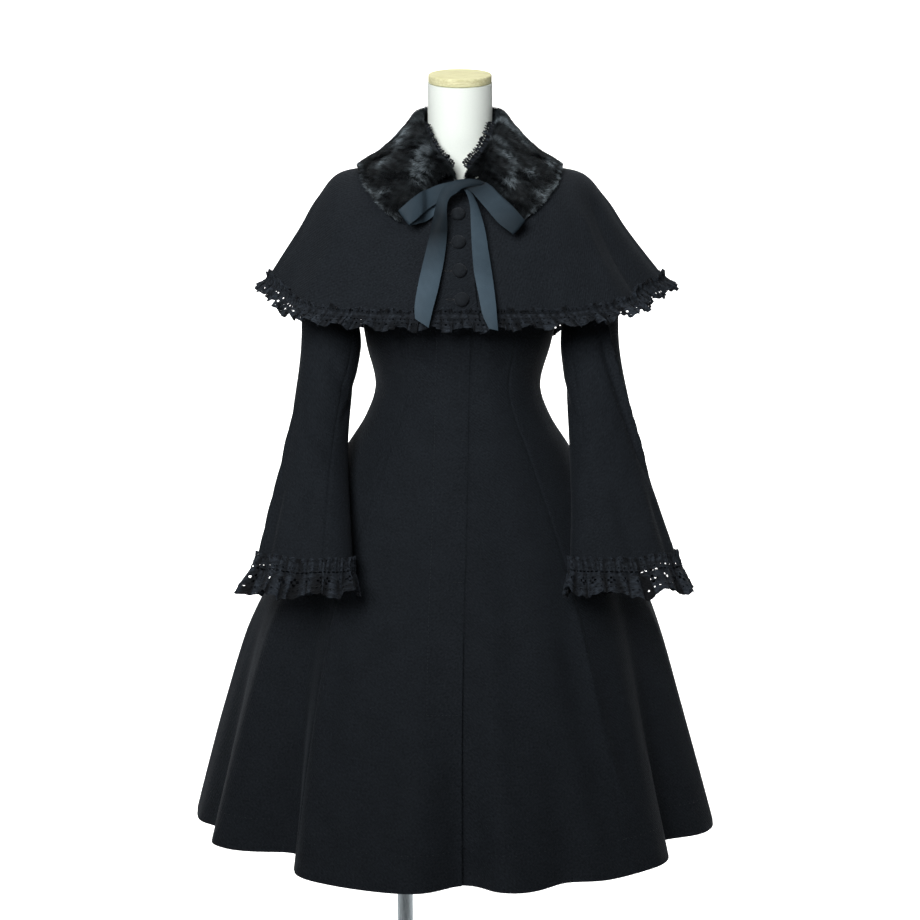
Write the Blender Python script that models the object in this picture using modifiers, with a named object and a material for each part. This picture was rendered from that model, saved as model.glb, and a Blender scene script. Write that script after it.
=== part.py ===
"""A cape coat on a dress form.

The coat is eight flared panels with two-piece sleeves and lace cuffs. A short cape with a lace edge lies
over its shoulders, under a deep fur collar that a ribbon bow ties. It all hangs on a limbless form with a pole
and a base. Metres, +Z up. The front faces -Y and the wearer's right side is at -X. The origin is on the floor,
under the neck.
"""

import math
from bisect import bisect_right
from collections import namedtuple

import bmesh
import bpy
from mathutils import Vector

RIGHT, LEFT = -1, 1

# Cloth: wall thicknesses, and the gaps between pieces that are sewn or buttoned together.
WOOL = 0.0020
LACE = 0.0010
RIBBON = 0.0012
SEAM_GAP = 0.0003
LAYER_GAP = 0.0005

# Coat: heights of its main levels, and how far the right front laps over the left one past the middle.
HEM_HEIGHT = 0.355
HEM_SIDE_RISE = 0.015
BUST_HEIGHT = 1.115
LAP_AT_WAIST = 0.017
LAP_AT_HEM = 0.006
UNDERLAP = 0.025
LAP_EASE = 0.035
LAP_ROOM_AT_HEM = 0.006
LAP_ROOM_LEVEL = 0.6

# Coat seams, in degrees round the body from the middle of the front.
FRONT_SEAM = 37.0
SIDE_SEAM = 90.0
BACK_SEAM = 143.0
FRONT_COLUMNS = 8
SIDE_COLUMNS = 9
BODICE_ROWS = 4

# Levels of the body panels' cross rows, from the hem to the bust.
ROW_HEIGHTS = (0.355, 0.435, 0.520, 0.600, 0.680, 0.755, 0.825, 0.885, 0.930, 0.968, 1.005, 1.050, 1.115)

BodyRing = namedtuple("BodyRing", "z half_width front back shift")
BODY_RINGS = (
    BodyRing(0.355, 0.385, 0.374, 0.386, -0.003),
    BodyRing(0.540, 0.332, 0.308, 0.326, -0.006),
    BodyRing(0.685, 0.284, 0.244, 0.264, -0.006),
    BodyRing(0.800, 0.224, 0.190, 0.206, -0.004),
    BodyRing(0.912, 0.160, 0.139, 0.149, -0.003),
    BodyRing(0.953, 0.134, 0.118, 0.119, -0.003),
    BodyRing(0.998, 0.1195, 0.105, 0.095, -0.003),
    BodyRing(1.055, 0.133, 0.120, 0.104, -0.002),
    BodyRing(1.115, 0.145, 0.139, 0.114, 0.000),
)

# Flare folds of the skirt: where each trough lies, how deep and wide it is at the hem, and where it starts.
Fold = namedtuple("Fold", "angle depth width top")
SKIRT_FOLDS = (
    Fold(-157, 0.042, 7.5, 0.80),
    Fold(-131, 0.056, 8.5, 0.84),
    Fold(-104, 0.046, 8.0, 0.82),
    Fold(-73, 0.030, 5.5, 0.74),
    Fold(-46, 0.076, 8.0, 0.84),
    Fold(1, 0.044, 6.0, 0.66),
    Fold(23, 0.022, 5.5, 0.62),
    Fold(60, 0.056, 7.5, 0.84),
    Fold(84, 0.010, 14.0, 0.70),
    Fold(101, 0.044, 8.0, 0.80),
    Fold(128, 0.058, 9.0, 0.85),
    Fold(155, 0.044, 7.5, 0.78),
    Fold(180, 0.052, 8.0, 0.83),
)
FOLD_GROWTH = 1.3

# Upper edge of half the body, from the front neck over the shoulder and round the armhole to the back neck.
# Before each point the cloth comes in from the lead, which lies behind or below the edge.
TopEdge = namedtuple("TopEdge", "angle x y z lead_y lead_z")
TOP_EDGE = (
    TopEdge(-12, -0.040, -0.056, 1.298, -0.016, -0.028),
    TopEdge(0, 0.000, -0.072, 1.280, -0.014, -0.030),
    TopEdge(12, 0.040, -0.056, 1.298, -0.016, -0.028),
    TopEdge(22, 0.066, -0.0002, 1.332, -0.050, 0.000),
    TopEdge(37, 0.120, -0.0002, 1.309, -0.048, 0.000),
    TopEdge(52, 0.176, -0.0002, 1.281, -0.040, 0.000),
    TopEdge(62, 0.1675, -0.047, 1.235, 0.000, -0.030),
    TopEdge(74, 0.156, -0.050, 1.182, 0.000, -0.020),
    TopEdge(90, 0.1475, 0.000, 1.128, 0.000, -0.004),
    TopEdge(106, 0.157, 0.050, 1.182, 0.000, -0.020),
    TopEdge(118, 0.1685, 0.047, 1.235, 0.000, -0.030),
    TopEdge(128, 0.176, 0.0002, 1.281, 0.040, 0.000),
    TopEdge(143, 0.120, 0.0002, 1.309, 0.048, 0.000),
    TopEdge(158, 0.066, 0.0002, 1.332, 0.050, 0.000),
    TopEdge(168, 0.042, 0.050, 1.345, 0.012, -0.026),
    TopEdge(180, 0.000, 0.066, 1.349, 0.012, -0.028),
    TopEdge(192, -0.042, 0.050, 1.345, 0.012, -0.026),
)
CHEST_RISE = 0.45

# Sleeves: rings from the armhole to the cuff and on to the lace edge. Each ring's middle lies out to the side
# and forward, its wide way turns towards the front, and near the shoulder it tilts up to meet the armhole.
SleeveRing = namedtuple("SleeveRing", "along z out forward half_width half_depth turn tilt")
SLEEVES = {
    RIGHT: (
        SleeveRing(0.00, 1.204, 0.1665, 0.000, 0.0755, 0.052, 0, 79),
        SleeveRing(0.10, 1.172, 0.1845, 0.003, 0.0620, 0.053, 0, 56),
        SleeveRing(0.22, 1.118, 0.1880, 0.011, 0.0440, 0.050, 0, 20),
        SleeveRing(0.36, 1.055, 0.1845, 0.030, 0.0430, 0.049, 2, 4),
        SleeveRing(0.52, 0.975, 0.1945, 0.064, 0.0405, 0.046, 8, 0),
        SleeveRing(0.67, 0.900, 0.2005, 0.104, 0.0435, 0.044, 18, 0),
        SleeveRing(0.83, 0.830, 0.2060, 0.147, 0.0580, 0.044, 29, 0),
        SleeveRing(1.00, 0.764, 0.2100, 0.192, 0.0740, 0.047, 37, 0),
        SleeveRing(1.15, 0.712, 0.2150, 0.230, 0.0820, 0.052, 39, 0),
    ),
    LEFT: (
        SleeveRing(0.00, 1.204, 0.1665, 0.000, 0.0755, 0.052, 0, 79),
        SleeveRing(0.10, 1.172, 0.1845, 0.003, 0.0620, 0.053, 0, 56),
        SleeveRing(0.22, 1.118, 0.1880, 0.011, 0.0440, 0.050, 0, 20),
        SleeveRing(0.36, 1.055, 0.1860, 0.028, 0.0420, 0.049, 2, 4),
        SleeveRing(0.52, 0.975, 0.1960, 0.060, 0.0445, 0.046, 8, 0),
        SleeveRing(0.67, 0.900, 0.2050, 0.098, 0.0520, 0.044, 16, 0),
        SleeveRing(0.83, 0.830, 0.2155, 0.140, 0.0660, 0.044, 25, 0),
        SleeveRing(1.00, 0.764, 0.2240, 0.184, 0.0830, 0.047, 31, 0),
        SleeveRing(1.15, 0.712, 0.2310, 0.222, 0.0930, 0.052, 33, 0),
    ),
}
SLEEVE_FRONT_SEAM = 140.0
SLEEVE_BACK_SEAM = 290.0
SLEEVE_TOP_COLUMNS = 9
SLEEVE_UNDER_COLUMNS = 6
SLEEVE_ROW_LINES = (0.0, 0.05, 0.1, 0.2, 0.3, 0.4, 0.5, 0.6, 0.7, 0.8, 0.9, 1.0)

# Cuff lace: a gathered strip with a frilled heading, a row of slots.
CUFF_LACE_WIDTH = 0.062
CUFF_HEADING = 0.012
CUFF_ROW_LINES = (0.0, 0.20, 0.33, 0.42, 1.0)
CUFF_SLOT_ROW = 2
CUFF_SLOT_PITCH = 2
CUFF_LACE_COLUMNS = 4
CUFF_WAVE_COLUMNS = 5
CUFF_HEADING_WAVE = 0.0012
CUFF_EDGE_WAVE = 0.0060
CUFF_FLARE = 0.004

# Cape: its depth at the front and back, its half width and their heights, from the neck to the hem.
CapeRing = namedtuple("CapeRing", "along front front_z side side_z back back_z")
CAPE_RINGS = (
    CapeRing(0.00, 0.079, 1.284, 0.071, 1.345, 0.073, 1.356),
    CapeRing(0.25, 0.112, 1.244, 0.128, 1.314, 0.100, 1.320),
    CapeRing(0.50, 0.142, 1.192, 0.184, 1.295, 0.126, 1.245),
    CapeRing(0.75, 0.159, 1.143, 0.232, 1.222, 0.152, 1.155),
    CapeRing(1.00, 0.168, 1.097, 0.283, 1.151, 0.174, 1.072),
)
CAPE_FOLDS = (
    Fold(-152, 0.012, 12.0, 0.35),
    Fold(-112, 0.018, 12.0, 0.40),
    Fold(-64, 0.016, 12.0, 0.45),
    Fold(62, 0.024, 9.0, 0.40),
    Fold(116, 0.018, 12.0, 0.40),
    Fold(158, 0.012, 12.0, 0.35),
)
CAPE_SQUARENESS = 0.085
CAPE_SHIFT = 0.008
CAPE_SHIFT_GROWTH = 3
CAPE_LEVEL_FRONT = {RIGHT: 3.0, LEFT: 1.8}
CAPE_SIDE_SEAM = 94.0
CAPE_FRONT_COLUMNS = 11
CAPE_BACK_COLUMNS = 18
CAPE_ROWS = 8
CAPE_LAP = 0.017
CAPE_UNDERLAP = 0.022

# Cape lace: a narrower gathered strip sewn along the hem.
CAPE_HEADING = 0.009
CAPE_LACE_WIDTH = 0.030
CAPE_LACE_COLUMNS = 5
CAPE_WAVE_COLUMNS = 4
CAPE_HEADING_WAVE = 0.0014
CAPE_EDGE_WAVE = 0.0045

# Collar: it rises from the cape's neck to a roll line round the neck, and falls to an edge on the cape.
COLLAR_FIELDS = "along seam_angle roll_x roll_y roll_z edge_angle edge_along lift"
CollarSection = namedtuple("CollarSection", COLLAR_FIELDS)
COLLAR_SECTIONS = (
    CollarSection(0.00, 9, 0.021, -0.087, 1.292, 29, 0.43, 0.003),
    CollarSection(0.20, 36, 0.044, -0.071, 1.322, 50, 0.385, 0.002),
    CollarSection(0.40, 63, 0.056, -0.041, 1.359, 73, 0.330, -0.003),
    CollarSection(0.58, 90, 0.060, 0.000, 1.380, 95, 0.300, -0.006),
    CollarSection(0.78, 132, 0.047, 0.042, 1.392, 132, 0.350, 0.001),
    CollarSection(1.00, 180, 0.000, 0.066, 1.396, 180, 0.410, 0.004),
    CollarSection(1.22, 228, -0.047, 0.042, 1.392, 228, 0.350, 0.001),
)
COLLAR_STAND_SHARE = 0.30
COLLAR_MIDDLE_SHARE = 0.64
COLLAR_COLUMNS = 10
COLLAR_ROWS = 8
COLLAR_CLEARANCE = 0.0030
FUR_AT_SEAM = 0.005
FUR_AT_ROLL = 0.009
FUR_AT_EDGE = 0.0065
FRONT_SWELL = {RIGHT: 0.0070, LEFT: 0.0055}
FRONT_SWELL_ALONG = 0.10
FRONT_SWELL_ALONG_WIDTH = 0.30
FRONT_SWELL_SHARE = 0.26
FRONT_SWELL_SHARE_WIDTH = 0.30

# Collar lace: a narrow strip on the inside of the stand, from each front corner to the side of the neck.
COLLAR_LACE_SPAN = 4
COLLAR_LACE_ROWS = 2
COLLAR_LACE_COLUMNS = 4
COLLAR_LACE_WAVE = 0.0004
COLLAR_LACE_LIFT = 0.0026

# Bow: each stretch of the ribbon by both its edges, from start to end. The right end arches over the knot.
KNOT = (0.003, -0.1115, 1.274)
KNOT_RADII = (0.0080, 0.0040, 0.0070)
Edges = namedtuple("Edges", "first_x first_y first_z second_x second_y second_z")
BOW_STRETCHES = {
    "bow_tail_right": (
        Edges(0.0345, -0.1300, 1.2800, 0.0300, -0.1312, 1.2755),
        Edges(0.0195, -0.1318, 1.2838, 0.0125, -0.1338, 1.2735),
        Edges(0.0025, -0.1325, 1.2838, 0.0025, -0.1355, 1.2705),
        Edges(-0.0125, -0.1335, 1.2800, -0.0060, -0.1370, 1.2640),
        Edges(-0.0220, -0.1350, 1.2735, -0.0130, -0.1390, 1.2590),
        Edges(-0.0280, -0.1370, 1.2640, -0.0170, -0.1415, 1.2510),
        Edges(-0.0320, -0.1400, 1.2520, -0.0180, -0.1440, 1.2400),
        Edges(-0.0355, -0.1430, 1.2370, -0.0175, -0.1460, 1.2290),
        Edges(-0.0410, -0.1500, 1.2085, -0.0175, -0.1500, 1.2110),
        Edges(-0.0495, -0.1620, 1.1730, -0.0210, -0.1600, 1.1770),
        Edges(-0.0580, -0.1770, 1.1335, -0.0290, -0.1750, 1.1360),
        Edges(-0.0615, -0.1850, 1.1075, -0.0365, -0.1840, 1.1065),
        Edges(-0.0605, -0.1880, 1.0930, -0.0425, -0.1890, 1.0810),
    ),
    "bow_tail_left": (
        Edges(0.0025, -0.1235, 1.2750, 0.0090, -0.1235, 1.2750),
        Edges(0.0095, -0.1290, 1.2625, 0.0170, -0.1285, 1.2635),
        Edges(0.0135, -0.1375, 1.2470, 0.0255, -0.1355, 1.2455),
        Edges(0.0150, -0.1490, 1.2140, 0.0340, -0.1470, 1.2155),
        Edges(0.0165, -0.1590, 1.1865, 0.0390, -0.1570, 1.1835),
        Edges(0.0190, -0.1700, 1.1565, 0.0435, -0.1680, 1.1550),
        Edges(0.0250, -0.1800, 1.1250, 0.0475, -0.1780, 1.1240),
        Edges(0.0310, -0.1870, 1.0970, 0.0500, -0.1860, 1.0970),
        Edges(0.0390, -0.1900, 1.0800, 0.0515, -0.1890, 1.0770),
    ),
    "bow_loop_left": (
        Edges(0.0260, -0.1220, 1.2820, 0.0070, -0.1265, 1.2735),
        Edges(0.0385, -0.1300, 1.2765, 0.0185, -0.1360, 1.2635),
        Edges(0.0560, -0.1410, 1.2590, 0.0355, -0.1470, 1.2430),
        Edges(0.0720, -0.1500, 1.2435, 0.0525, -0.1550, 1.2230),
        Edges(0.0870, -0.1530, 1.2290, 0.0700, -0.1570, 1.2095),
        Edges(0.0893, -0.1500, 1.2262, 0.0723, -0.1542, 1.2065),
        Edges(0.0865, -0.1462, 1.2300, 0.0700, -0.1510, 1.2100),
        Edges(0.0735, -0.1420, 1.2450, 0.0535, -0.1475, 1.2240),
        Edges(0.0575, -0.1330, 1.2605, 0.0365, -0.1395, 1.2440),
        Edges(0.0395, -0.1225, 1.2775, 0.0195, -0.1280, 1.2640),
        Edges(0.0270, -0.1150, 1.2820, 0.0080, -0.1185, 1.2735),
    ),
    "bow_loop_right": (
        Edges(-0.0015, -0.1220, 1.2820, -0.0070, -0.1250, 1.2695),
        Edges(-0.0260, -0.1230, 1.2780, -0.0260, -0.1280, 1.2555),
        Edges(-0.0440, -0.1290, 1.2705, -0.0440, -0.1340, 1.2430),
        Edges(-0.0535, -0.1420, 1.2655, -0.0520, -0.1470, 1.2355),
        Edges(-0.0655, -0.1490, 1.2565, -0.0590, -0.1530, 1.2285),
        Edges(-0.0820, -0.1520, 1.2420, -0.0670, -0.1560, 1.2225),
        Edges(-0.0842, -0.1490, 1.2395, -0.0692, -0.1530, 1.2198),
        Edges(-0.0800, -0.1455, 1.2425, -0.0665, -0.1500, 1.2200),
        Edges(-0.0640, -0.1400, 1.2540, -0.0560, -0.1435, 1.2230),
        Edges(-0.0480, -0.1275, 1.2660, -0.0455, -0.1315, 1.2270),
        Edges(-0.0380, -0.1195, 1.2720, -0.0350, -0.1235, 1.2360),
        Edges(-0.0200, -0.1165, 1.2790, -0.0180, -0.1200, 1.2560),
        Edges(-0.0010, -0.1150, 1.2815, -0.0050, -0.1180, 1.2690),
    ),
}
RIBBON_COLUMNS = 2
RIBBON_STEP = 0.01

# Covered buttons down the cape's front.
BUTTON_HEIGHTS = (1.236, 1.197, 1.158, 1.119)
BUTTON_X = -0.003
BUTTON_RADIUS = 0.0100
BUTTON_DOME = 0.0065
BUTTON_FOOT = 0.0015
BUTTON_SEGMENTS = 12

# Dress form: torso rings from its flat underside to the top of the neck, with the neck leaning forward.
FormRing = namedtuple("FormRing", "z half_width front back centre_y")
FORM_RINGS = (
    FormRing(0.745, 0.146, 0.092, 0.112, 0.000),
    FormRing(0.800, 0.156, 0.098, 0.120, 0.000),
    FormRing(0.860, 0.155, 0.100, 0.118, 0.000),
    FormRing(0.912, 0.142, 0.098, 0.110, 0.000),
    FormRing(0.953, 0.122, 0.091, 0.096, 0.000),
    FormRing(0.998, 0.110, 0.088, 0.082, 0.000),
    FormRing(1.055, 0.122, 0.101, 0.090, 0.000),
    FormRing(1.115, 0.133, 0.118, 0.100, 0.000),
    FormRing(1.165, 0.138, 0.108, 0.100, 0.000),
    FormRing(1.215, 0.144, 0.082, 0.083, 0.000),
    FormRing(1.253, 0.140, 0.058, 0.062, 0.000),
    FormRing(1.280, 0.110, 0.046, 0.048, 0.001),
    FormRing(1.301, 0.077, 0.042, 0.044, 0.002),
    FormRing(1.325, 0.055, 0.043, 0.045, 0.001),
    FormRing(1.350, 0.0470, 0.0460, 0.0480, -0.002),
    FormRing(1.395, 0.0462, 0.0455, 0.0455, -0.008),
    FormRing(1.4285, 0.0462, 0.0455, 0.0455, -0.012),
)
FORM_SEGMENTS = 26
FORM_LEVELS = 24
NECK_TILT = math.radians(16.7)
NECK_TILT_START = 1.360
NECK_CAP_RADIUS = 0.0455
NECK_CAP_HEIGHT = 0.0117
NECK_CAP_EASE = 0.002
POLE_X = -0.081
POLE_RADIUS = 0.0115
BASE_RADIUS = 0.190
BASE_HEIGHT = 0.014
BASE_EASE = 0.004
ROUND_SEGMENTS = 32

# Finishes: colour, roughness and metallic value.
WOOL_BLACK = ("black_wool", (0.012, 0.013, 0.016), 0.90, 0.0)
LACE_BLACK = ("black_lace", (0.014, 0.015, 0.018), 0.85, 0.0)
FUR_BLACK = ("black_fur", (0.014, 0.015, 0.018), 0.60, 0.0)
SATIN = ("slate_satin", (0.035, 0.045, 0.055), 0.40, 0.0)
FORM_CLOTH = ("form_cloth", (0.82, 0.84, 0.82), 0.80, 0.0)
CAP_WOOD = ("cap_wood", (0.70, 0.52, 0.28), 0.50, 0.0)
STEEL = ("brushed_steel", (0.50, 0.53, 0.55), 0.35, 1.0)

STEP_ANGLE = 0.4
STEP_ALONG = 0.004


def clear_scene():
    for obj in list(bpy.data.objects):
        bpy.data.objects.remove(obj)


def finish(name, colour, roughness, metallic):
    """The named material, made on its first use."""
    made = bpy.data.materials.get(name)
    if made is None:
        made = bpy.data.materials.new(name)
        made.use_nodes = True
        shader = made.node_tree.nodes["Principled BSDF"]
        shader.inputs["Base Color"].default_value = (*colour, 1.0)
        shader.inputs["Roughness"].default_value = roughness
        shader.inputs["Metallic"].default_value = metallic
        made.diffuse_color = (*colour, 1.0)
    return made


def add_object(name, mesh, look):
    """Puts a mesh in the coat's collection as the named object."""
    collection = bpy.data.collections.get("cape_coat")
    if collection is None:
        collection = bpy.data.collections.new("cape_coat")
        bpy.context.scene.collection.children.link(collection)
    mesh.materials.append(finish(*look))
    mesh.shade_smooth()
    mesh.set_sharp_from_angle(angle=math.radians(50))
    obj = bpy.data.objects.new(name, mesh)
    collection.objects.link(obj)
    return obj


def smooth_step(value):
    value = min(1.0, max(0.0, value))
    return value * value * (3 - 2 * value)


def mix(low, high, share):
    return low + (high - low) * share


def curve_through(rows, key, column):
    """A smooth curve through one column of a table, with each row's slope taken from its neighbours."""
    at = [getattr(row, key) for row in rows]
    values = [getattr(row, column) for row in rows]
    last = len(rows) - 1
    slopes = []
    for i in range(last + 1):
        before, after = max(i - 1, 0), min(i + 1, last)
        slopes.append((values[after] - values[before]) / (at[after] - at[before]))

    def value(where):
        i = min(max(bisect_right(at, where) - 1, 0), last - 1)
        span = at[i + 1] - at[i]
        t = (where - at[i]) / span
        if t > 1:
            return values[last] + slopes[last] * (where - at[last])
        return (
            (1 + 2 * t) * (1 - t) ** 2 * values[i]
            + t * (1 - t) ** 2 * span * slopes[i]
            + t * t * (3 - 2 * t) * values[i + 1]
            + t * t * (t - 1) * span * slopes[i + 1]
        )

    return value


def straight_through(rows, key, column):
    """A line from row to row through one column of a table, which keeps the corners of a cut edge."""
    at = [getattr(row, key) for row in rows]
    values = [getattr(row, column) for row in rows]

    def value(where):
        i = min(max(bisect_right(at, where) - 1, 0), len(at) - 2)
        return mix(values[i], values[i + 1], (where - at[i]) / (at[i + 1] - at[i]))

    return value


def columns_of(rows, key, reader):
    """One reader for each column of a table, by its name."""
    return {column: reader(rows, key, column) for column in rows[0]._fields if column != key}


BODY = columns_of(BODY_RINGS, "z", curve_through)
EDGE = columns_of(TOP_EDGE, "angle", straight_through)
CAPE = columns_of(CAPE_RINGS, "along", curve_through)
SLEEVE = {side: columns_of(rings, "along", curve_through) for side, rings in SLEEVES.items()}
COLLAR = columns_of(COLLAR_SECTIONS, "along", curve_through)
FORM = columns_of(FORM_RINGS, "z", curve_through)


def trough(fold, angle):
    """How much of a fold's depth is reached at an angle."""
    apart = (angle - fold.angle + 180) % 360 - 180
    return math.exp(-((apart / fold.width) ** 2))


def body_ring_point(angle, z):
    """A point on the coat's outside below the bust."""
    half_width = BODY["half_width"](z)
    pull = 0.0
    for fold in SKIRT_FOLDS:
        if z < fold.top:
            opening = (fold.top - z) / (fold.top - HEM_HEIGHT)
            pull += fold.depth * trough(fold, angle) * opening ** FOLD_GROWTH
    shrink = 1 - pull / half_width
    turn = math.radians(angle)
    reach = BODY["front" if math.cos(turn) > 0 else "back"](z)
    x = half_width * math.sin(turn) * shrink + BODY["shift"](z)
    return Vector((x, -reach * math.cos(turn) * shrink, z))


def bodice_point(angle, share):
    """A point on the coat's outside from the bust, at 0, to its upper edge, at 1."""
    mirror = -1 if angle < -12 else 1
    angle *= mirror
    start = body_ring_point(angle, BUST_HEIGHT)
    end = Vector((EDGE["x"](angle), EDGE["y"](angle), EDGE["z"](angle)))
    rise = start + Vector((0, 0, CHEST_RISE * (end.z - start.z)))
    lead = end + Vector((0, EDGE["lead_y"](angle), EDGE["lead_z"](angle)))
    rest = 1 - share
    point = start * rest**3 + rise * 3 * share * rest**2 + lead * 3 * share**2 * rest + end * share**3
    point.x *= mirror
    return point


def coat_point(angle, level):
    """A point on the coat's outside. Level is 0 at the hem, 1 at the bust and 2 at the upper edge."""
    if level <= 1:
        hem = HEM_HEIGHT + HEM_SIDE_RISE * math.sin(math.radians(angle)) ** 2
        return body_ring_point(angle, mix(hem, BUST_HEIGHT, level))
    return bodice_point(angle, level - 1)


def cape_point(angle, along):
    """A point on the cape's outside, from its neck, at 0, to its hem, at 1."""
    turn = math.radians(angle)
    across, ahead = math.sin(turn), math.cos(turn)
    end = "front" if ahead > 0 else "back"
    pull = 0.0
    for fold in CAPE_FOLDS:
        if along > fold.top:
            pull += fold.depth * trough(fold, angle) * ((along - fold.top) / (1 - fold.top)) ** FOLD_GROWTH
    side = CAPE["side"](along)
    swell = 1 + CAPE_SQUARENESS * along * math.sin(2 * turn) ** 2 - pull / side
    level = CAPE_LEVEL_FRONT[RIGHT if across < 0 else LEFT] * along**2 if ahead > 0 else 0.0
    height = mix(CAPE[end + "_z"](along), CAPE["side_z"](along), abs(across) ** (2 + level))
    x = side * across * swell + CAPE_SHIFT * along**CAPE_SHIFT_GROWTH
    return Vector((x, -CAPE[end](along) * ahead * swell, height))


def sleeve_point(side, angle, along):
    """A point on a sleeve's outside. Angle 0 is its outer side, 90 its front and 180 its inner side."""
    ring = SLEEVE[side]
    turn, tilt = math.radians(ring["turn"](along)), math.radians(ring["tilt"](along))
    wide = Vector((math.cos(tilt) * math.cos(turn), math.cos(tilt) * math.sin(turn), math.sin(tilt)))
    deep = Vector((math.sin(turn), -math.cos(turn), 0))
    middle = Vector((ring["out"](along), -ring["forward"](along), ring["z"](along)))
    around = math.radians(angle)
    point = middle + wide * ring["half_width"](along) * math.cos(around)
    point += deep * ring["half_depth"](along) * math.sin(around)
    point.x *= side
    return point


def outward(surface, angle, along, flip=1):
    """The unit normal of a surface that is given by an angle and a way along."""
    across = surface(angle + STEP_ANGLE, along) - surface(angle - STEP_ANGLE, along)
    ahead = surface(angle, along + STEP_ALONG) - surface(angle, along - STEP_ALONG)
    return across.cross(ahead).normalized() * flip


def seam_angle(surface, angle, along, towards):
    """The angle half a seam gap away from a seam, on the side that towards names."""
    step = (surface(angle + STEP_ANGLE, along) - surface(angle - STEP_ANGLE, along)).length
    return angle + towards * SEAM_GAP / 2 * (2 * STEP_ANGLE / step)


def cloth(name, columns, row_lines, place, look, cut=None):
    """A wall of cloth: a flat piece, cut through where asked, given thickness and then laid in place.

    place(u, v, depth) says where a point of the flat piece goes. u and v run from 0 to 1 across and along it,
    and depth is 0 on its outside and 1 on its inside.
    """
    rows = len(row_lines) - 1
    flat = bmesh.new()
    bmesh.ops.create_grid(flat, x_segments=columns, y_segments=rows, size=0.5)
    if cut:
        holes = []
        for face in flat.faces:
            middle = face.calc_center_median()
            if cut(int((middle.x + 0.5) * columns), int((middle.y + 0.5) * rows)):
                holes.append(face)
        bmesh.ops.delete(flat, geom=holes, context="FACES")
    grown = bmesh.ops.extrude_face_region(flat, geom=flat.faces[:], use_keep_orig=True)
    for vert in grown["geom"]:
        if isinstance(vert, bmesh.types.BMVert):
            vert.co.z = 1.0
    for vert in flat.verts:
        column, row = round((vert.co.x + 0.5) * columns), round((vert.co.y + 0.5) * rows)
        vert.co = place(column / columns, row_lines[row], vert.co.z)
    bmesh.ops.recalc_face_normals(flat, faces=flat.faces[:])
    if flat.calc_volume(signed=True) < 0:
        bmesh.ops.reverse_faces(flat, faces=flat.faces[:])
    mesh = bpy.data.meshes.new(name)
    flat.to_mesh(mesh)
    flat.free()
    return add_object(name, mesh, look)


def even_lines(rows):
    return [row / rows for row in range(rows + 1)]


def lap_angle(reach, level):
    """The angle of a front edge that lies a given distance past the middle."""
    width = BODY["half_width"](min(mix(HEM_HEIGHT, BUST_HEIGHT, level), BUST_HEIGHT))
    return math.degrees(math.asin(reach / width))


def coat_panel(name, low, high, columns, tucked=False):
    """One panel of the coat between two edges, each given as a function of the level.

    A tucked panel passes under the other front: its wall moves in by one layer near the middle.
    """
    span = BUST_HEIGHT - HEM_HEIGHT
    levels = [(z - HEM_HEIGHT) / span for z in ROW_HEIGHTS]
    levels += [1 + (row + 1) / BODICE_ROWS for row in range(BODICE_ROWS)]

    def place(u, level, depth):
        angle = mix(low(level), high(level), u)
        point = coat_point(angle, level)
        inward = depth * WOOL
        if tucked:
            room = mix(LAP_ROOM_AT_HEM, LAYER_GAP, min(level / LAP_ROOM_LEVEL, 1))
            inward += (WOOL + room) * (1 - smooth_step((point.x - LAP_AT_WAIST) / LAP_EASE))
        return point - outward(coat_point, angle, min(level, 2 - STEP_ALONG)) * inward

    cloth(name, columns, levels, place, WOOL_BLACK)


def build_coat_body():
    """Eight panels: two fronts, two side fronts, two side backs and two backs."""

    def seam(angle, towards):
        return lambda level: seam_angle(coat_point, angle, min(level, 2 - STEP_ALONG), towards)

    def lap(level):
        return lap_angle(mix(LAP_AT_HEM, LAP_AT_WAIST, min(level, 1)), level)

    def underlap(level):
        return -lap_angle(UNDERLAP, level)

    coat_panel("coat_front_right", seam(-FRONT_SEAM, 1), lap, FRONT_COLUMNS)
    coat_panel("coat_front_left", underlap, seam(FRONT_SEAM, -1), FRONT_COLUMNS, tucked=True)
    coat_panel("coat_side_front_right", seam(-SIDE_SEAM, 1), seam(-FRONT_SEAM, -1), SIDE_COLUMNS)
    coat_panel("coat_side_front_left", seam(FRONT_SEAM, 1), seam(SIDE_SEAM, -1), SIDE_COLUMNS)
    coat_panel("coat_side_back_right", seam(-BACK_SEAM, 1), seam(-SIDE_SEAM, -1), SIDE_COLUMNS)
    coat_panel("coat_side_back_left", seam(SIDE_SEAM, 1), seam(BACK_SEAM, -1), SIDE_COLUMNS)
    coat_panel("coat_back_right", seam(-180, 1), seam(-BACK_SEAM, -1), FRONT_COLUMNS)
    coat_panel("coat_back_left", seam(BACK_SEAM, 1), seam(180, -1), FRONT_COLUMNS)


def side_name(side):
    return "right" if side == RIGHT else "left"


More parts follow.
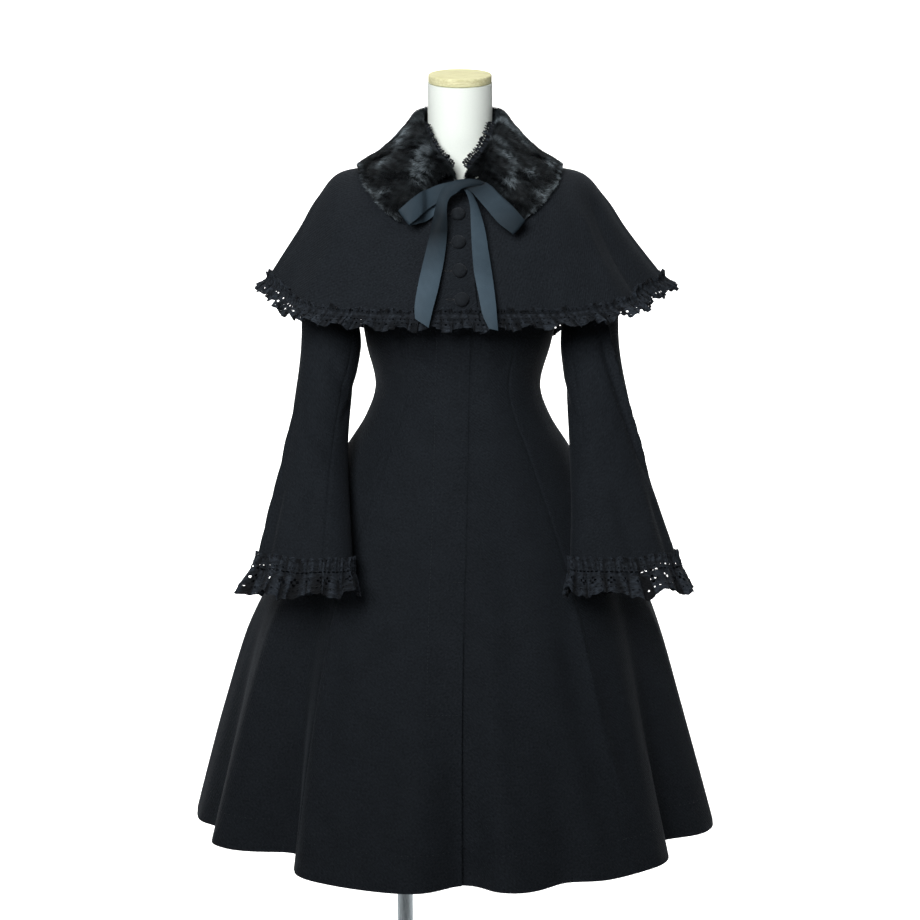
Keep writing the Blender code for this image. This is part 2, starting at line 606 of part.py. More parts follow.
def build_sleeve(side):
    """A top sleeve and an under sleeve, with a lace strip on the end of each."""

    def surface(angle, along):
        return sleeve_point(side, angle, along)

    top = (SLEEVE_BACK_SEAM - 360, SLEEVE_FRONT_SEAM, SLEEVE_TOP_COLUMNS)
    under = (SLEEVE_FRONT_SEAM, SLEEVE_BACK_SEAM, SLEEVE_UNDER_COLUMNS)
    first_column = 0
    for kind, (low, high, columns) in (("top", top), ("under", under)):

        def angle_at(u, along, low=low, high=high):
            return mix(seam_angle(surface, low, along, 1), seam_angle(surface, high, along, -1), u)

        def place(u, along, depth, angle_at=angle_at):
            angle = angle_at(u, along)
            out = outward(surface, angle, max(along, SLEEVE_ROW_LINES[1]), side)
            return surface(angle, along) - out * depth * WOOL

        def cuff_frame(column, angle_at=angle_at, columns=columns):
            angle = angle_at(column / columns, 1.0)
            down = surface(angle, 1.0) - surface(angle, SLEEVE_ROW_LINES[-2])
            return surface(angle, 1.0), down.normalized(), outward(surface, angle, 1.0, side)

        cloth(f"sleeve_{kind}_{side_name(side)}", columns, SLEEVE_ROW_LINES, place, WOOL_BLACK)
        build_cuff_lace(f"cuff_lace_{kind}_{side_name(side)}", side, columns, cuff_frame, first_column)
        first_column += columns * CUFF_LACE_COLUMNS


def framed(frame, column):
    """An edge frame between two columns of the panel that carries it, so that it stays on its facets."""
    before = math.floor(column + 1e-6)
    share = column - before
    if share < 1e-6:
        return frame(before)
    return tuple(a.lerp(b, share) for a, b in zip(frame(before), frame(before + 1)))


def wave(column, length):
    """A gathered strip's in and out, from 0 to 1."""
    return 0.5 - 0.5 * math.cos(2 * math.pi * column / length)


def build_cuff_lace(name, side, sleeve_columns, frame, first_column):
    """The lace of one sleeve piece, which flares most on the outer side."""
    columns = sleeve_columns * CUFF_LACE_COLUMNS

    def place(u, v, depth):
        column = u * columns
        edge, down, out = framed(frame, u * sleeve_columns)
        below = v * CUFF_LACE_WIDTH - CUFF_HEADING
        reach = mix(CUFF_HEADING_WAVE, CUFF_EDGE_WAVE, smooth_step(v))
        lift = LAYER_GAP + reach * wave(column + first_column, CUFF_WAVE_COLUMNS)
        flare = CUFF_FLARE * max(0.0, out.x * side) * max(0.0, below) / CUFF_LACE_WIDTH
        return edge + down * below + out * (lift + flare + LACE * (1 - depth))

    def cut(column, row):
        return row == CUFF_SLOT_ROW and column % CUFF_SLOT_PITCH == 1 and column < columns - 1

    cloth(name, columns, CUFF_ROW_LINES, place, LACE_BLACK, cut)


def cape_lap_angle(reach, along):
    return math.degrees(math.asin(min(1.0, reach / CAPE["side"](along))))


def build_cape():
    """Two fronts that lap in the middle and one back, each with its own lace strip."""

    def right_front(u, along):
        return mix(seam_angle(cape_point, -CAPE_SIDE_SEAM, along, 1), cape_lap_angle(CAPE_LAP, along), u)

    def left_front(u, along):
        side = seam_angle(cape_point, CAPE_SIDE_SEAM, along, -1)
        return mix(-cape_lap_angle(CAPE_UNDERLAP, along), side, u)

    def back(u, along):
        low = seam_angle(cape_point, CAPE_SIDE_SEAM, along, 1)
        high = seam_angle(cape_point, 360 - CAPE_SIDE_SEAM, along, -1)
        return mix(low, high, u)

    first_column = 0
    for kind, angle_at, columns, tucked in (
        ("front_right", right_front, CAPE_FRONT_COLUMNS, False),
        ("front_left", left_front, CAPE_FRONT_COLUMNS, True),
        ("back", back, CAPE_BACK_COLUMNS, False),
    ):

        def tuck(point, tucked=tucked):
            if not tucked:
                return 0.0
            lace_room = LACE + CAPE_HEADING_WAVE + LAYER_GAP
            return (WOOL + LAYER_GAP + lace_room) * (1 - smooth_step((point.x - CAPE_LAP) / LAP_EASE))

        def place(u, along, depth, angle_at=angle_at, tuck=tuck):
            angle = angle_at(u, along)
            point = cape_point(angle, along)
            return point + outward(cape_point, angle, along) * (depth * WOOL + tuck(point))

        def hem_frame(column, angle_at=angle_at, columns=columns, tuck=tuck):
            angle = angle_at(column / columns, 1.0)
            point = cape_point(angle, 1.0)
            down = cape_point(angle, 1.0) - cape_point(angle, 1 - 1 / CAPE_ROWS)
            out = -outward(cape_point, angle, 1.0)
            return point - out * tuck(point), down.normalized(), out

        cloth(f"cape_{kind}", columns, even_lines(CAPE_ROWS), place, WOOL_BLACK)
        build_cape_lace(f"cape_lace_{kind}", columns, hem_frame, first_column, tucked)
        first_column += columns * CAPE_LACE_COLUMNS


def build_cape_lace(name, cape_columns, frame, first_column, tucked):
    """The lace of one cape panel. Where a tucked panel lies under the lap, its lace lies flat."""
    columns = cape_columns * CAPE_LACE_COLUMNS

    def place(u, v, depth):
        edge, down, out = framed(frame, u * cape_columns)
        below = v * CAPE_LACE_WIDTH - CAPE_HEADING
        reach = CAPE_HEADING_WAVE if v < 1 else CAPE_EDGE_WAVE
        if tucked:
            reach *= smooth_step(u * cape_columns - 0.6)
        lift = LAYER_GAP + reach * wave(u * columns + first_column, CAPE_WAVE_COLUMNS)
        return edge + down * below + out * (lift + LACE * (1 - depth))

    gather = CAPE_HEADING / CAPE_LACE_WIDTH
    cloth(name, columns, (0.0, gather, 1.0), place, LACE_BLACK)


def collar_point(along, share):
    """A point on the collar's underside, from its neck seam, at 0, over the roll line to its edge, at 1."""
    seam = cape_point(COLLAR["seam_angle"](along), 0.0)
    seam.z += COLLAR_CLEARANCE
    roll = Vector((COLLAR["roll_x"](along), COLLAR["roll_y"](along), COLLAR["roll_z"](along)))
    edge_angle, edge_along = COLLAR["edge_angle"](along), COLLAR["edge_along"](along)
    up = -outward(cape_point, edge_angle, edge_along)
    edge = cape_point(edge_angle, edge_along) + up * COLLAR_CLEARANCE
    middle = roll.lerp(edge, 0.5) + (up + Vector((0, 0, 1))).normalized() * COLLAR["lift"](along)
    knots = (0.0, COLLAR_STAND_SHARE, COLLAR_MIDDLE_SHARE, 1.0)
    Knot = namedtuple("Knot", "share x y z")
    rows = [Knot(knot, *point) for knot, point in zip(knots, (seam, roll, middle, edge))]
    return Vector([curve_through(rows, "share", axis)(share) for axis in "xyz"])


def fur_depth(side, along, share):
    """How thick the collar is from its seam over the roll to its edge, with a fuller roll at the front."""
    near = 1 - smooth_step(abs(share - FRONT_SWELL_SHARE) / FRONT_SWELL_SHARE_WIDTH)
    near *= 1 - smooth_step(abs(along - FRONT_SWELL_ALONG) / FRONT_SWELL_ALONG_WIDTH)
    swell = FRONT_SWELL[side] * near
    if share < COLLAR_STAND_SHARE:
        return swell + mix(FUR_AT_SEAM, FUR_AT_ROLL, share / COLLAR_STAND_SHARE)
    return swell + mix(FUR_AT_ROLL, FUR_AT_EDGE, (share - COLLAR_STAND_SHARE) / (1 - COLLAR_STAND_SHARE))


def collar_outside(along, share):
    """The outward direction of the collar's fur side."""
    step = 0.01
    round_neck = collar_point(along + step, share) - collar_point(along - step, share)
    fall = collar_point(along, min(share + step, 1)) - collar_point(along, max(share - step, 0))
    return fall.cross(round_neck).normalized()


def build_collar(side):
    """One half of the fur collar, from its front corner to the middle of the back, and its lace edging."""
    back_end = 1 - SEAM_GAP

    def mirrored(point):
        return Vector((point.x * side, point.y, point.z))

    def place(u, share, depth):
        along = u * back_end
        thick = fur_depth(side, along, share) * (1 - depth)
        return mirrored(collar_point(along, share) + collar_outside(along, share) * thick)

    cloth(f"collar_{side_name(side)}", COLLAR_COLUMNS, even_lines(COLLAR_ROWS), place, FUR_BLACK)
    lace_columns = COLLAR_LACE_SPAN * COLLAR_LACE_COLUMNS

    def lace_frame(column, share):
        along = column / COLLAR_COLUMNS * back_end
        return place(column / COLLAR_COLUMNS, share, 0), mirrored(collar_outside(along, share))

    def place_lace(u, v, depth):
        seat, out = framed(lambda column: lace_frame(column, v), u * COLLAR_LACE_SPAN)
        lift = COLLAR_LACE_LIFT + COLLAR_LACE_WAVE * wave(u * lace_columns, COLLAR_LACE_COLUMNS)
        return seat + out * (lift + LACE * (1 - depth))

    lines = [row / COLLAR_ROWS for row in range(COLLAR_LACE_ROWS + 1)]
    cloth(f"collar_lace_{side_name(side)}", lace_columns, lines, place_lace, LACE_BLACK)


def ribbon_ways(sections):
    """How far along the ribbon each section stands, from 0 at its start to 1 at its end."""
    middles = [(Vector(section[:3]) + Vector(section[3:])) / 2 for section in sections]
    ways = [0.0]
    for before, after in zip(middles, middles[1:]):
        ways.append(ways[-1] + (after - before).length)
    return [way / ways[-1] for way in ways]


def build_ribbon(name, sections):
    """One stretch of the ribbon: a wall between its two edges that starts with its outside to the front."""
    ways = ribbon_ways(sections)
    Row = namedtuple("Row", ("way", *Edges._fields))
    curves = columns_of([Row(way, *section) for way, section in zip(ways, sections)], "way", curve_through)

    def edges(way):
        return [Vector([curves[f"{edge}_{axis}"](way) for axis in "xyz"]) for edge in ("first", "second")]

    def outside(way):
        first, second = edges(way)
        after = edges(min(way + RIBBON_STEP, 1))
        before = edges(max(way - RIBBON_STEP, 0))
        ahead = sum(after, Vector()) - sum(before, Vector())
        return ahead.cross(second - first).normalized()

    facing = -math.copysign(1, outside(0.0).y)

    def place(u, way, depth):
        first, second = edges(way)
        return first.lerp(second, u) - outside(way) * facing * depth * RIBBON

    cloth(name, RIBBON_COLUMNS, ways, place, SATIN)


def build_bow():
    ball = bmesh.new()
    bmesh.ops.create_uvsphere(ball, u_segments=12, v_segments=8, radius=1.0)
    for vert in ball.verts:
        vert.co = Vector(KNOT) + Vector([c * r for c, r in zip(vert.co, KNOT_RADII)])
    mesh = bpy.data.meshes.new("bow_knot")
    ball.to_mesh(mesh)
    ball.free()
    add_object("bow_knot", mesh, SATIN)
    for name, sections in BOW_STRETCHES.items():
        build_ribbon(name, sections)


def cape_front_at(x, z):
    """The point and outward normal of the cape's front at a height, found by halving along the cape."""
    low, high = 0.0, 1.0
    for _ in range(30):
        middle = (low + high) / 2
        angle = cape_lap_angle(abs(x), middle) * (1 if x > 0 else -1)
        if cape_point(angle, middle).z > z:
            low = middle
        else:
            high = middle
    return cape_point(angle, low), -outward(cape_point, angle, low)


def build_buttons():
    """Covered buttons: a domed profile turned about each button's own axis."""
    for number, level in enumerate(BUTTON_HEIGHTS, start=1):
        seat, out = cape_front_at(BUTTON_X, level)
        name = f"button_{number}"
        dome = bmesh.new()
        bmesh.ops.create_uvsphere(dome, u_segments=BUTTON_SEGMENTS, v_segments=6, radius=1.0)
        for vert in dome.verts:
            rise = max(vert.co.z, 0.0)
            foot = min(vert.co.z, 0.0)
            height = rise * BUTTON_DOME + foot * BUTTON_FOOT
            vert.co = Vector((vert.co.x * BUTTON_RADIUS, vert.co.y * BUTTON_RADIUS, height))
        turn = out.to_track_quat("Z", "Y").to_matrix().to_4x4()
        mesh = bpy.data.meshes.new(name)
        dome.to_mesh(mesh)
        dome.free()
        button = add_object(name, mesh, WOOL_BLACK)
        button.matrix_world = turn
        button.location = seat + out * (BUTTON_FOOT + LAYER_GAP)


def build_torso():
    """The form's torso and neck: a sphere whose rings are drawn out to the form's sections."""
    low, high = FORM_RINGS[0].z, FORM_RINGS[-1].z
    form = bmesh.new()
    bmesh.ops.create_uvsphere(form, u_segments=FORM_SEGMENTS, v_segments=FORM_LEVELS, radius=1.0)
    for vert in form.verts:
        pole = abs(vert.co.z) > 0.9999
        share = math.acos(max(-1, min(1, -vert.co.z))) / math.pi
        z = mix(low, high, min(1, max(0, (share * FORM_LEVELS - 1) / (FORM_LEVELS - 2))))
        turn = math.atan2(vert.co.x, -vert.co.y)
        front = FORM["front" if math.cos(turn) > 0 else "back"](z)
        size = 0.0 if pole else 1.0
        x = FORM["half_width"](z) * math.sin(turn) * size
        y = -front * math.cos(turn) * size
        lean = smooth_step((z - NECK_TILT_START) / (high - NECK_TILT_START))
        vert.co = Vector((x, y + FORM["centre_y"](z), z + y * math.tan(NECK_TILT) * lean))
    bmesh.ops.recalc_face_normals(form, faces=form.faces[:])
    mesh = bpy.data.meshes.new("form_torso")
    form.to_mesh(mesh)
    form.free()
    add_object("form_torso", mesh, FORM_CLOTH)


def build_disc(name, radius, height, bevel, look):
    """A round disc with eased edges, standing on its own origin."""
    disc = bmesh.new()
    bmesh.ops.create_cone(
        disc, cap_ends=True, segments=ROUND_SEGMENTS, radius1=radius, radius2=radius, depth=height
    )
    bmesh.ops.translate(disc, verts=disc.verts[:], vec=(0, 0, height / 2))
    mesh = bpy.data.meshes.new(name)
    disc.to_mesh(mesh)
    disc.free()
    obj = add_object(name, mesh, look)
    if bevel:
        eased = obj.modifiers.new("eased_edges", "BEVEL")
        eased.width = bevel
        eased.segments = 1
        eased.limit_method = "ANGLE"
    return obj


def build_form():
    build_torso()
    top = FORM_RINGS[-1]
    cap = build_disc("form_neck_cap", NECK_CAP_RADIUS, NECK_CAP_HEIGHT, NECK_CAP_EASE, CAP_WOOD)
    cap.rotation_euler = (NECK_TILT, 0, 0)
    cap.location = (0, top.centre_y, top.z + SEAM_GAP * 1.5)
    base = build_disc("form_base", BASE_RADIUS, BASE_HEIGHT, BASE_EASE, STEEL)
    base.location = (POLE_X, 0, 0)
    pole_foot = BASE_HEIGHT + SEAM_GAP
    pole = build_disc("form_pole", POLE_RADIUS, FORM_RINGS[0].z - SEAM_GAP - pole_foot, 0, STEEL)
    pole.location = (POLE_X, 0, pole_foot)


clear_scene()
build_form()
build_coat_body()
for wearer_side in (RIGHT, LEFT):
    build_sleeve(wearer_side)
build_cape()
for wearer_side in (RIGHT, LEFT):
    build_collar(wearer_side)
build_bow()
build_buttons()
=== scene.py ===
"""Looks of a cape coat on a dress form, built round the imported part.

The coat is black wool with lace on its cuffs and cape, a fur collar and a ribbon bow. Its cloth
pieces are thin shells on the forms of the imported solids, with finer folds, cut lace, sewing and fur.
Metres, +Z up. The front faces -Y and the wearer's right side is at -X.
"""

import logging
import math
from dataclasses import dataclass, field
from enum import Enum
from typing import Callable, Sequence

import bpy
import numpy as np
from mathutils import Matrix, Vector


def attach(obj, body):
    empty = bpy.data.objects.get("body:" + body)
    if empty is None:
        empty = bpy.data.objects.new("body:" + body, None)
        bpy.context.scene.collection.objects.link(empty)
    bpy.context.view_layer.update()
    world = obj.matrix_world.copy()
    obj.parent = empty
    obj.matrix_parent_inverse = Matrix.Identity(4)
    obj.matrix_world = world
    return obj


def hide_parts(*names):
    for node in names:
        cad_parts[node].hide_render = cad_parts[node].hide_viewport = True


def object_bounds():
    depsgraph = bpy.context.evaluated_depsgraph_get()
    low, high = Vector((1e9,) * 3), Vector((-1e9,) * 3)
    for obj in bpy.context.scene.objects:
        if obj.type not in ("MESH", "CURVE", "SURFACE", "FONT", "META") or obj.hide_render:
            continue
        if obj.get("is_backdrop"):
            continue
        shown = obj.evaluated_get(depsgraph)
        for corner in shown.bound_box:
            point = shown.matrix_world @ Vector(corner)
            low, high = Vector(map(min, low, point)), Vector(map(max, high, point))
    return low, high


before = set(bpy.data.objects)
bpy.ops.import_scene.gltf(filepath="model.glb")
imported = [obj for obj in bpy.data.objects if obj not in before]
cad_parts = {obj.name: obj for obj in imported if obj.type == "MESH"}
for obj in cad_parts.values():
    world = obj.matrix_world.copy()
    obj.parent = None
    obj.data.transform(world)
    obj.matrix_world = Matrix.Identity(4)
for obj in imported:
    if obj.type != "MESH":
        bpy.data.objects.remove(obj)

LOG = logging.getLogger("cape_coat")
BODY = "root"

Array = np.ndarray
Triple = tuple[float, float, float]
Pair = tuple[float, float]
Surface = Callable[[Array, Array], Array]
Socket = bpy.types.NodeSocket
Piece = bpy.types.Object

# Steps for slopes of surfaces, in degrees and in ways along
STEP_ANGLE = 0.4
STEP_ALONG = 0.004
# Room between pieces, and the walls of the cloths
SEAM_GAP = 0.0003
LAYER_GAP = 0.0005
WOOL_WALL = 0.0020
LACE_WALL = 0.0007
RIBBON_WALL = 0.0007


class Side(Enum):
    """The wearer's side that a piece lies on."""

    RIGHT = -1
    LEFT = 1

    @property
    def word(self) -> str:
        """The side's name as it stands in the names of nodes."""
        return self.name.lower()


class Pattern(Enum):
    """What a material's pattern follows."""

    CLOTH = "UV"
    SOLID = "Object"


def smooth_step(value: Array) -> Array:
    """Eases shares, which are first held between 0 and 1."""
    held = np.clip(value, 0.0, 1.0)
    return held * held * (3 - 2 * held)


def mix(low: Array, high: Array, share: Array) -> Array:
    """The value a share of the way from low to high."""
    return low + (high - low) * share


def unit(arrows: Array) -> Array:
    """Directions at length one, along the last axis."""
    return arrows / np.maximum(np.linalg.norm(arrows, axis=-1, keepdims=True), 1e-12)


def vectors(x: Array, y: Array, z: Array) -> Array:
    """Joins three coordinates, each an array or a number, to points."""
    return np.stack(np.broadcast_arrays(x, y, z), axis=-1)


def hermite(at: Array, values: Array, where: Array) -> Array:
    """A smooth curve through values, with each slope taken from the neighbours.

    Args:
        at: where each value stands, rising.
        values: the values, first axis as long as at, and the rest the same shape as where or none.
        where: the places that are asked for.

    Returns:
        The curve's values. Past the last place the curve goes on straight.
    """
    last = len(at) - 1
    rows = np.arange(last + 1)
    before, after = np.maximum(rows - 1, 0), np.minimum(rows + 1, last)
    spans = (at[after] - at[before]).reshape(-1, *[1] * (values.ndim - 1))
    slopes = (values[after] - values[before]) / spans
    i = np.clip(np.searchsorted(at, where, side="right") - 1, 0, last - 1)
    span = at[i + 1] - at[i]
    t = (where - at[i]) / span
    if values.ndim == 1:
        v0, v1, s0, s1 = values[i], values[i + 1], slopes[i], slopes[i + 1]
    else:
        spread = [np.indices(where.shape)[axis] for axis in range(where.ndim)]
        v0, v1 = values[(i, *spread)], values[(i + 1, *spread)]
        s0, s1 = slopes[(i, *spread)], slopes[(i + 1, *spread)]
    inside = (1 + 2 * t) * (1 - t) ** 2 * v0 + t * (1 - t) ** 2 * span * s0
    inside = inside + t * t * (3 - 2 * t) * v1 + t * t * (t - 1) * span * s1
    return np.where(t > 1, v1 + s1 * (where - at[i + 1]), inside)


def within_turn(angle: Array, first: float) -> Array:
    """The same angles in degrees, within one turn from the first one on."""
    return (angle - first) % 360 + first


class SmoothTable:
    """Smooth curves through the columns of a table, read by name."""

    def __init__(self, columns: str, rows: Sequence[Sequence[float]]) -> None:
        """Keeps the table.

        Args:
            columns: the names of the columns, the first being where each row stands.
            rows: the rows, in rising order.
        """
        data = np.array(rows, dtype=float)
        self.at = data[:, 0]
        self.columns = dict(zip(columns.split()[1:], data.T[1:]))

    def __call__(self, column: str, where: Array) -> Array:
        """The values of one column at the places asked for."""
        return hermite(self.at, self.columns[column], np.asarray(where, dtype=float))


class StraightTable(SmoothTable):
    """Straight lines from row to row, which keep the corners of a cut edge."""

    def __call__(self, column: str, where: Array) -> Array:
        """The values of one column at the places asked for."""
        return np.interp(where, self.at, self.columns[column])


@dataclass(frozen=True)
class Fold:
    """A flare fold: where its trough lies, how deep and wide it is at the hem, and where it starts."""

    angle: float
    depth: float
    width: float
    top: float

    def reach(self, angle: Array) -> Array:
        """How much of the fold's depth is reached at an angle."""
        return np.exp(-((within_turn(angle - self.angle, -180) / self.width) ** 2))


@dataclass(frozen=True)
class Crease:
    """A soft ridge, or a trough where height is negative, along a line on a surface."""

    start_angle: float
    start_along: float
    end_angle: float
    end_along: float
    width: float
    height: float
    fades: bool = False


@dataclass(frozen=True)
class CreaseField:
    """All creases of one surface, with what a degree and a step along it measure in metres.

    A crease rises from nothing over the first share of its length, and goes back to it where it fades.
    """

    creases: tuple[Crease, ...]
    per_degree: float
    per_along: float
    rise: float = 0.25

    def relief(self, angle: Array, along: Array) -> Array:
        """How far the creases push the surface out.

        Args:
            angle: angles of the points.
            along: ways along of the points.

        Returns:
            The distance out of each point, in metres.
        """
        x, y = np.broadcast_arrays(angle * self.per_degree, along * self.per_along)
        out = np.zeros(x.shape)
        for crease in self.creases:
            x0, y0 = crease.start_angle * self.per_degree, crease.start_along * self.per_along
            x1, y1 = crease.end_angle * self.per_degree, crease.end_along * self.per_along
            run = (x1 - x0) ** 2 + (y1 - y0) ** 2
            share = np.clip(((x - x0) * (x1 - x0) + (y - y0) * (y1 - y0)) / run, 0, 1)
            apart = (x - x0 - share * (x1 - x0)) ** 2 + (y - y0 - share * (y1 - y0)) ** 2
            strength = smooth_step(share / self.rise)
            if crease.fades:
                strength = strength * smooth_step((1 - share) / self.rise)
            out += crease.height * strength * np.exp(-apart / crease.width**2)
        return out


@dataclass(frozen=True)
class SoftNoise:
    """A smooth and repeatable noise from crossed waves: its patches' size, and a seed for its pattern."""

    size: float
    seed: int
    waves: int = 7
    pitch: Pair = (0.6, 1.5)
    height: float = 3.0

    def at(self, points: Array) -> Array:
        """The noise at some points.

        Args:
            points: points in metres.

        Returns:
            A value from about -1 to 1 for each point.
        """
        dice = np.random.default_rng(self.seed)
        out = np.zeros(points.shape[:-1])
        for _ in range(self.waves):
            way = dice.normal(size=3)
            way *= dice.uniform(*self.pitch) * math.pi / self.size / np.linalg.norm(way)
            out += np.sin(points @ way + dice.uniform(0, 2 * math.pi))
        return out / self.height


@dataclass(frozen=True)
class SeamDip:
    """The shallow groove along a sewn edge."""

    depth: float
    width: float

    def sunk(self, points: Array, low: bool, high: bool) -> Array:
        """How far a panel is drawn in along its two edges.

        Args:
            points: the panel's points, rows by columns.
            low: whether the edge at the first column is sewn.
            high: whether the edge at the last column is sewn.

        Returns:
            The distance in of each point.
        """
        across = Sheet(points).arcs()[..., 0]
        out = np.zeros(across.shape)
        for sewn, apart in ((low, across - across[:, :1]), (high, across[:, -1:] - across)):
            if sewn:
                out += self.depth * np.exp(-((apart / self.width) ** 2))
        return out


def normals(surface: Surface, angle: Array, along: Array, flip: float = 1.0) -> Array:
    """Unit normals of a surface.

    Args:
        surface: gives the points for an angle and a way along.
        angle: angles of the points.
        along: ways along of the points.
        flip: -1 where the surface runs the other way round.

    Returns:
        The outward direction at each point.
    """
    across = surface(angle + STEP_ANGLE, along) - surface(angle - STEP_ANGLE, along)
    ahead = surface(angle, along + STEP_ALONG) - surface(angle, along - STEP_ALONG)
    return unit(np.cross(across, ahead)) * flip


def eased_shares(count: int) -> Array:
    """Shares from 0 to 1, closer together towards both ends."""
    return 0.5 - 0.5 * np.cos(np.linspace(0, math.pi, count + 1))


def way_along(line: Array) -> Array:
    """How far along a line each of its points lies."""
    return np.concatenate([[0.0], np.cumsum(np.linalg.norm(np.diff(line, axis=0), axis=-1))])


def line_points(where: Array, at: Array, line: Array) -> Array:
    """Points on a line, straight between its own points, which lie at the given ways along."""
    return np.stack([np.interp(where, at, line[:, axis]) for axis in range(3)], axis=-1)


# Shader trees


class ShaderTree:
    """A short way to add and join the nodes of a material or a node group."""

    def __init__(self, tree: bpy.types.NodeTree) -> None:
        """Keeps the tree that nodes are added to."""
        self.tree = tree

    def add(self, kind: str, **settings: object) -> bpy.types.Node:
        """Adds a node.

        Args:
            kind: the node's type, without its ShaderNode prefix.
            settings: properties to set on it.

        Returns:
            The node.
        """
        node = self.tree.nodes.new(f"ShaderNode{kind}")
        for name, value in settings.items():
            setattr(node, name, value)
        return node

    def join(self, source: Socket, target: Socket) -> None:
        """Links one socket to another."""
        self.tree.links.new(source, target)

    def feed(self, value: object, target: Socket) -> None:
        """Links a socket to another, or sets a plain value on it."""
        if isinstance(value, Socket):
            self.join(value, target)
        else:
            target.default_value = value

    def maths(self, operation: str, first: object, second: object) -> Socket:
        """A sum on two sockets or numbers.

        Args:
            operation: the Math node's operation.
            first: a socket or a number.
            second: a socket or a number.

        Returns:
            The socket of the result.
        """
        node = self.add("Math", operation=operation)
        self.feed(first, node.inputs[0])
        self.feed(second, node.inputs[1])
        return node.outputs[0]

    def scaled(self, where: Socket, scale: object) -> Socket:
        """A vector socket times a number or a number's socket."""
        node = self.add("VectorMath", operation="SCALE")
        self.join(where, node.inputs[0])
        self.feed(scale, node.inputs["Scale"])
        return node.outputs[0]

    def noise(self, where: Socket, scale: float, detail: float) -> Socket:
        """A noise texture's value.

        Args:
            where: the socket of its coordinates.
            scale: its scale.
            detail: how fine it goes.

        Returns:
            The socket of the value.
        """
        node = self.add("TexNoise")
        node.inputs["Scale"].default_value = scale
        node.inputs["Detail"].default_value = detail
        self.join(where, node.inputs["Vector"])
        return node.outputs[0]

    def spread(self, value: Socket, start: Pair, to: Pair = (0.0, 1.0)) -> Socket:
        """Maps a value from one range to another, and holds it there.

        Args:
            value: the socket of the value.
            start: the range that it comes from.
            to: the range that it is brought to.

        Returns:
            The socket of the result.
        """
        node = self.add("MapRange")
        self.join(value, node.inputs["Value"])
        for name, number in zip(("From Min", "From Max", "To Min", "To Max"), (*start, *to)):
            node.inputs[name].default_value = number
        return node.outputs[0]

    def blend(self, share: Socket, low: object, high: object) -> Socket:
        """Mixes two colours.

        Args:
            share: the socket of the second one's share.
            low: the first colour or its socket.
            high: the second colour or its socket.

        Returns:
            The socket of the mixed colour.
        """
        node = self.add("Mix", data_type="RGBA")
        self.join(share, node.inputs[0])
        for socket, value in ((node.inputs[6], low), (node.inputs[7], high)):
            self.feed(value if isinstance(value, Socket) else (*value, 1.0), socket)
        return node.outputs[2]

    def bump(self, height: Socket, distance: float) -> Socket:
        """The normal of a bumpy surface.

        Args:
            height: the socket of the bumps' height.
            distance: how far a height of one stands out.

        Returns:
            The socket of the normal.
        """
        node = self.add("Bump")
        node.inputs["Distance"].default_value = distance
        node.inputs["Strength"].default_value = 1.0
        self.join(height, node.inputs["Height"])
        return node.outputs["Normal"]


def new_group(name: str, inputs: Sequence[tuple[str, str]], outputs: Sequence[tuple[str, str]]) -> tuple:
    """Starts a shader node group.

    Args:
        name: the group's name.
        inputs: name and socket type of each input.
        outputs: name and socket type of each output.

    Returns:
        The group's tree, its input node and its output node.
    """
    group = bpy.data.node_groups.new(name, "ShaderNodeTree")
    for label, kind in inputs:
        group.interface.new_socket(label, in_out="INPUT", socket_type=f"NodeSocket{kind}")
    for label, kind in outputs:
        group.interface.new_socket(label, in_out="OUTPUT", socket_type=f"NodeSocket{kind}")
    return group, group.nodes.new("NodeGroupInput"), group.nodes.new("NodeGroupOutput")


def woven_group() -> bpy.types.NodeTree:
    """Cloth threads with a soft nap: a colour that varies and a height, made on its first use."""
    made = bpy.data.node_groups.get("woven_threads")
    if made:
        return made
    inputs = (("Where", "Vector"), ("Dark", "Color"), ("Light", "Color"),
              ("Threads", "Float"), ("Patches", "Float"))
    group, given, result = new_group("woven_threads", inputs, (("Colour", "Color"), ("Height", "Float")))
    thread_part, fuzz_part, patch_part, contrast = 0.35, 0.80, 0.20, (0.32, 0.68)
    tree = ShaderTree(group)
    close = tree.scaled(given.outputs["Where"], given.outputs["Threads"])
    twill = tree.add("TexWave", wave_type="BANDS", bands_direction="DIAGONAL")
    twill.inputs["Scale"].default_value = 0.30
    twill.inputs["Distortion"].default_value = 2.5
    twill.inputs["Detail"].default_value = 1.0
    tree.join(close, twill.inputs["Vector"])
    fuzz = tree.noise(close, scale=0.8, detail=3.0)
    wide = tree.scaled(given.outputs["Where"], given.outputs["Patches"])
    patches = tree.noise(wide, scale=1.0, detail=3.0)
    threads = tree.maths("MULTIPLY", twill.outputs["Fac"], thread_part)
    height = tree.maths("ADD", threads, fuzz)
    fuzz_tone = tree.maths("MULTIPLY", fuzz, fuzz_part)
    share = tree.maths("ADD", fuzz_tone, tree.maths("MULTIPLY", patches, patch_part))
    clear = tree.spread(share, contrast)
    tree.join(tree.blend(clear, given.outputs["Dark"], given.outputs["Light"]), result.inputs["Colour"])
    tree.join(height, result.inputs["Height"])
    return group


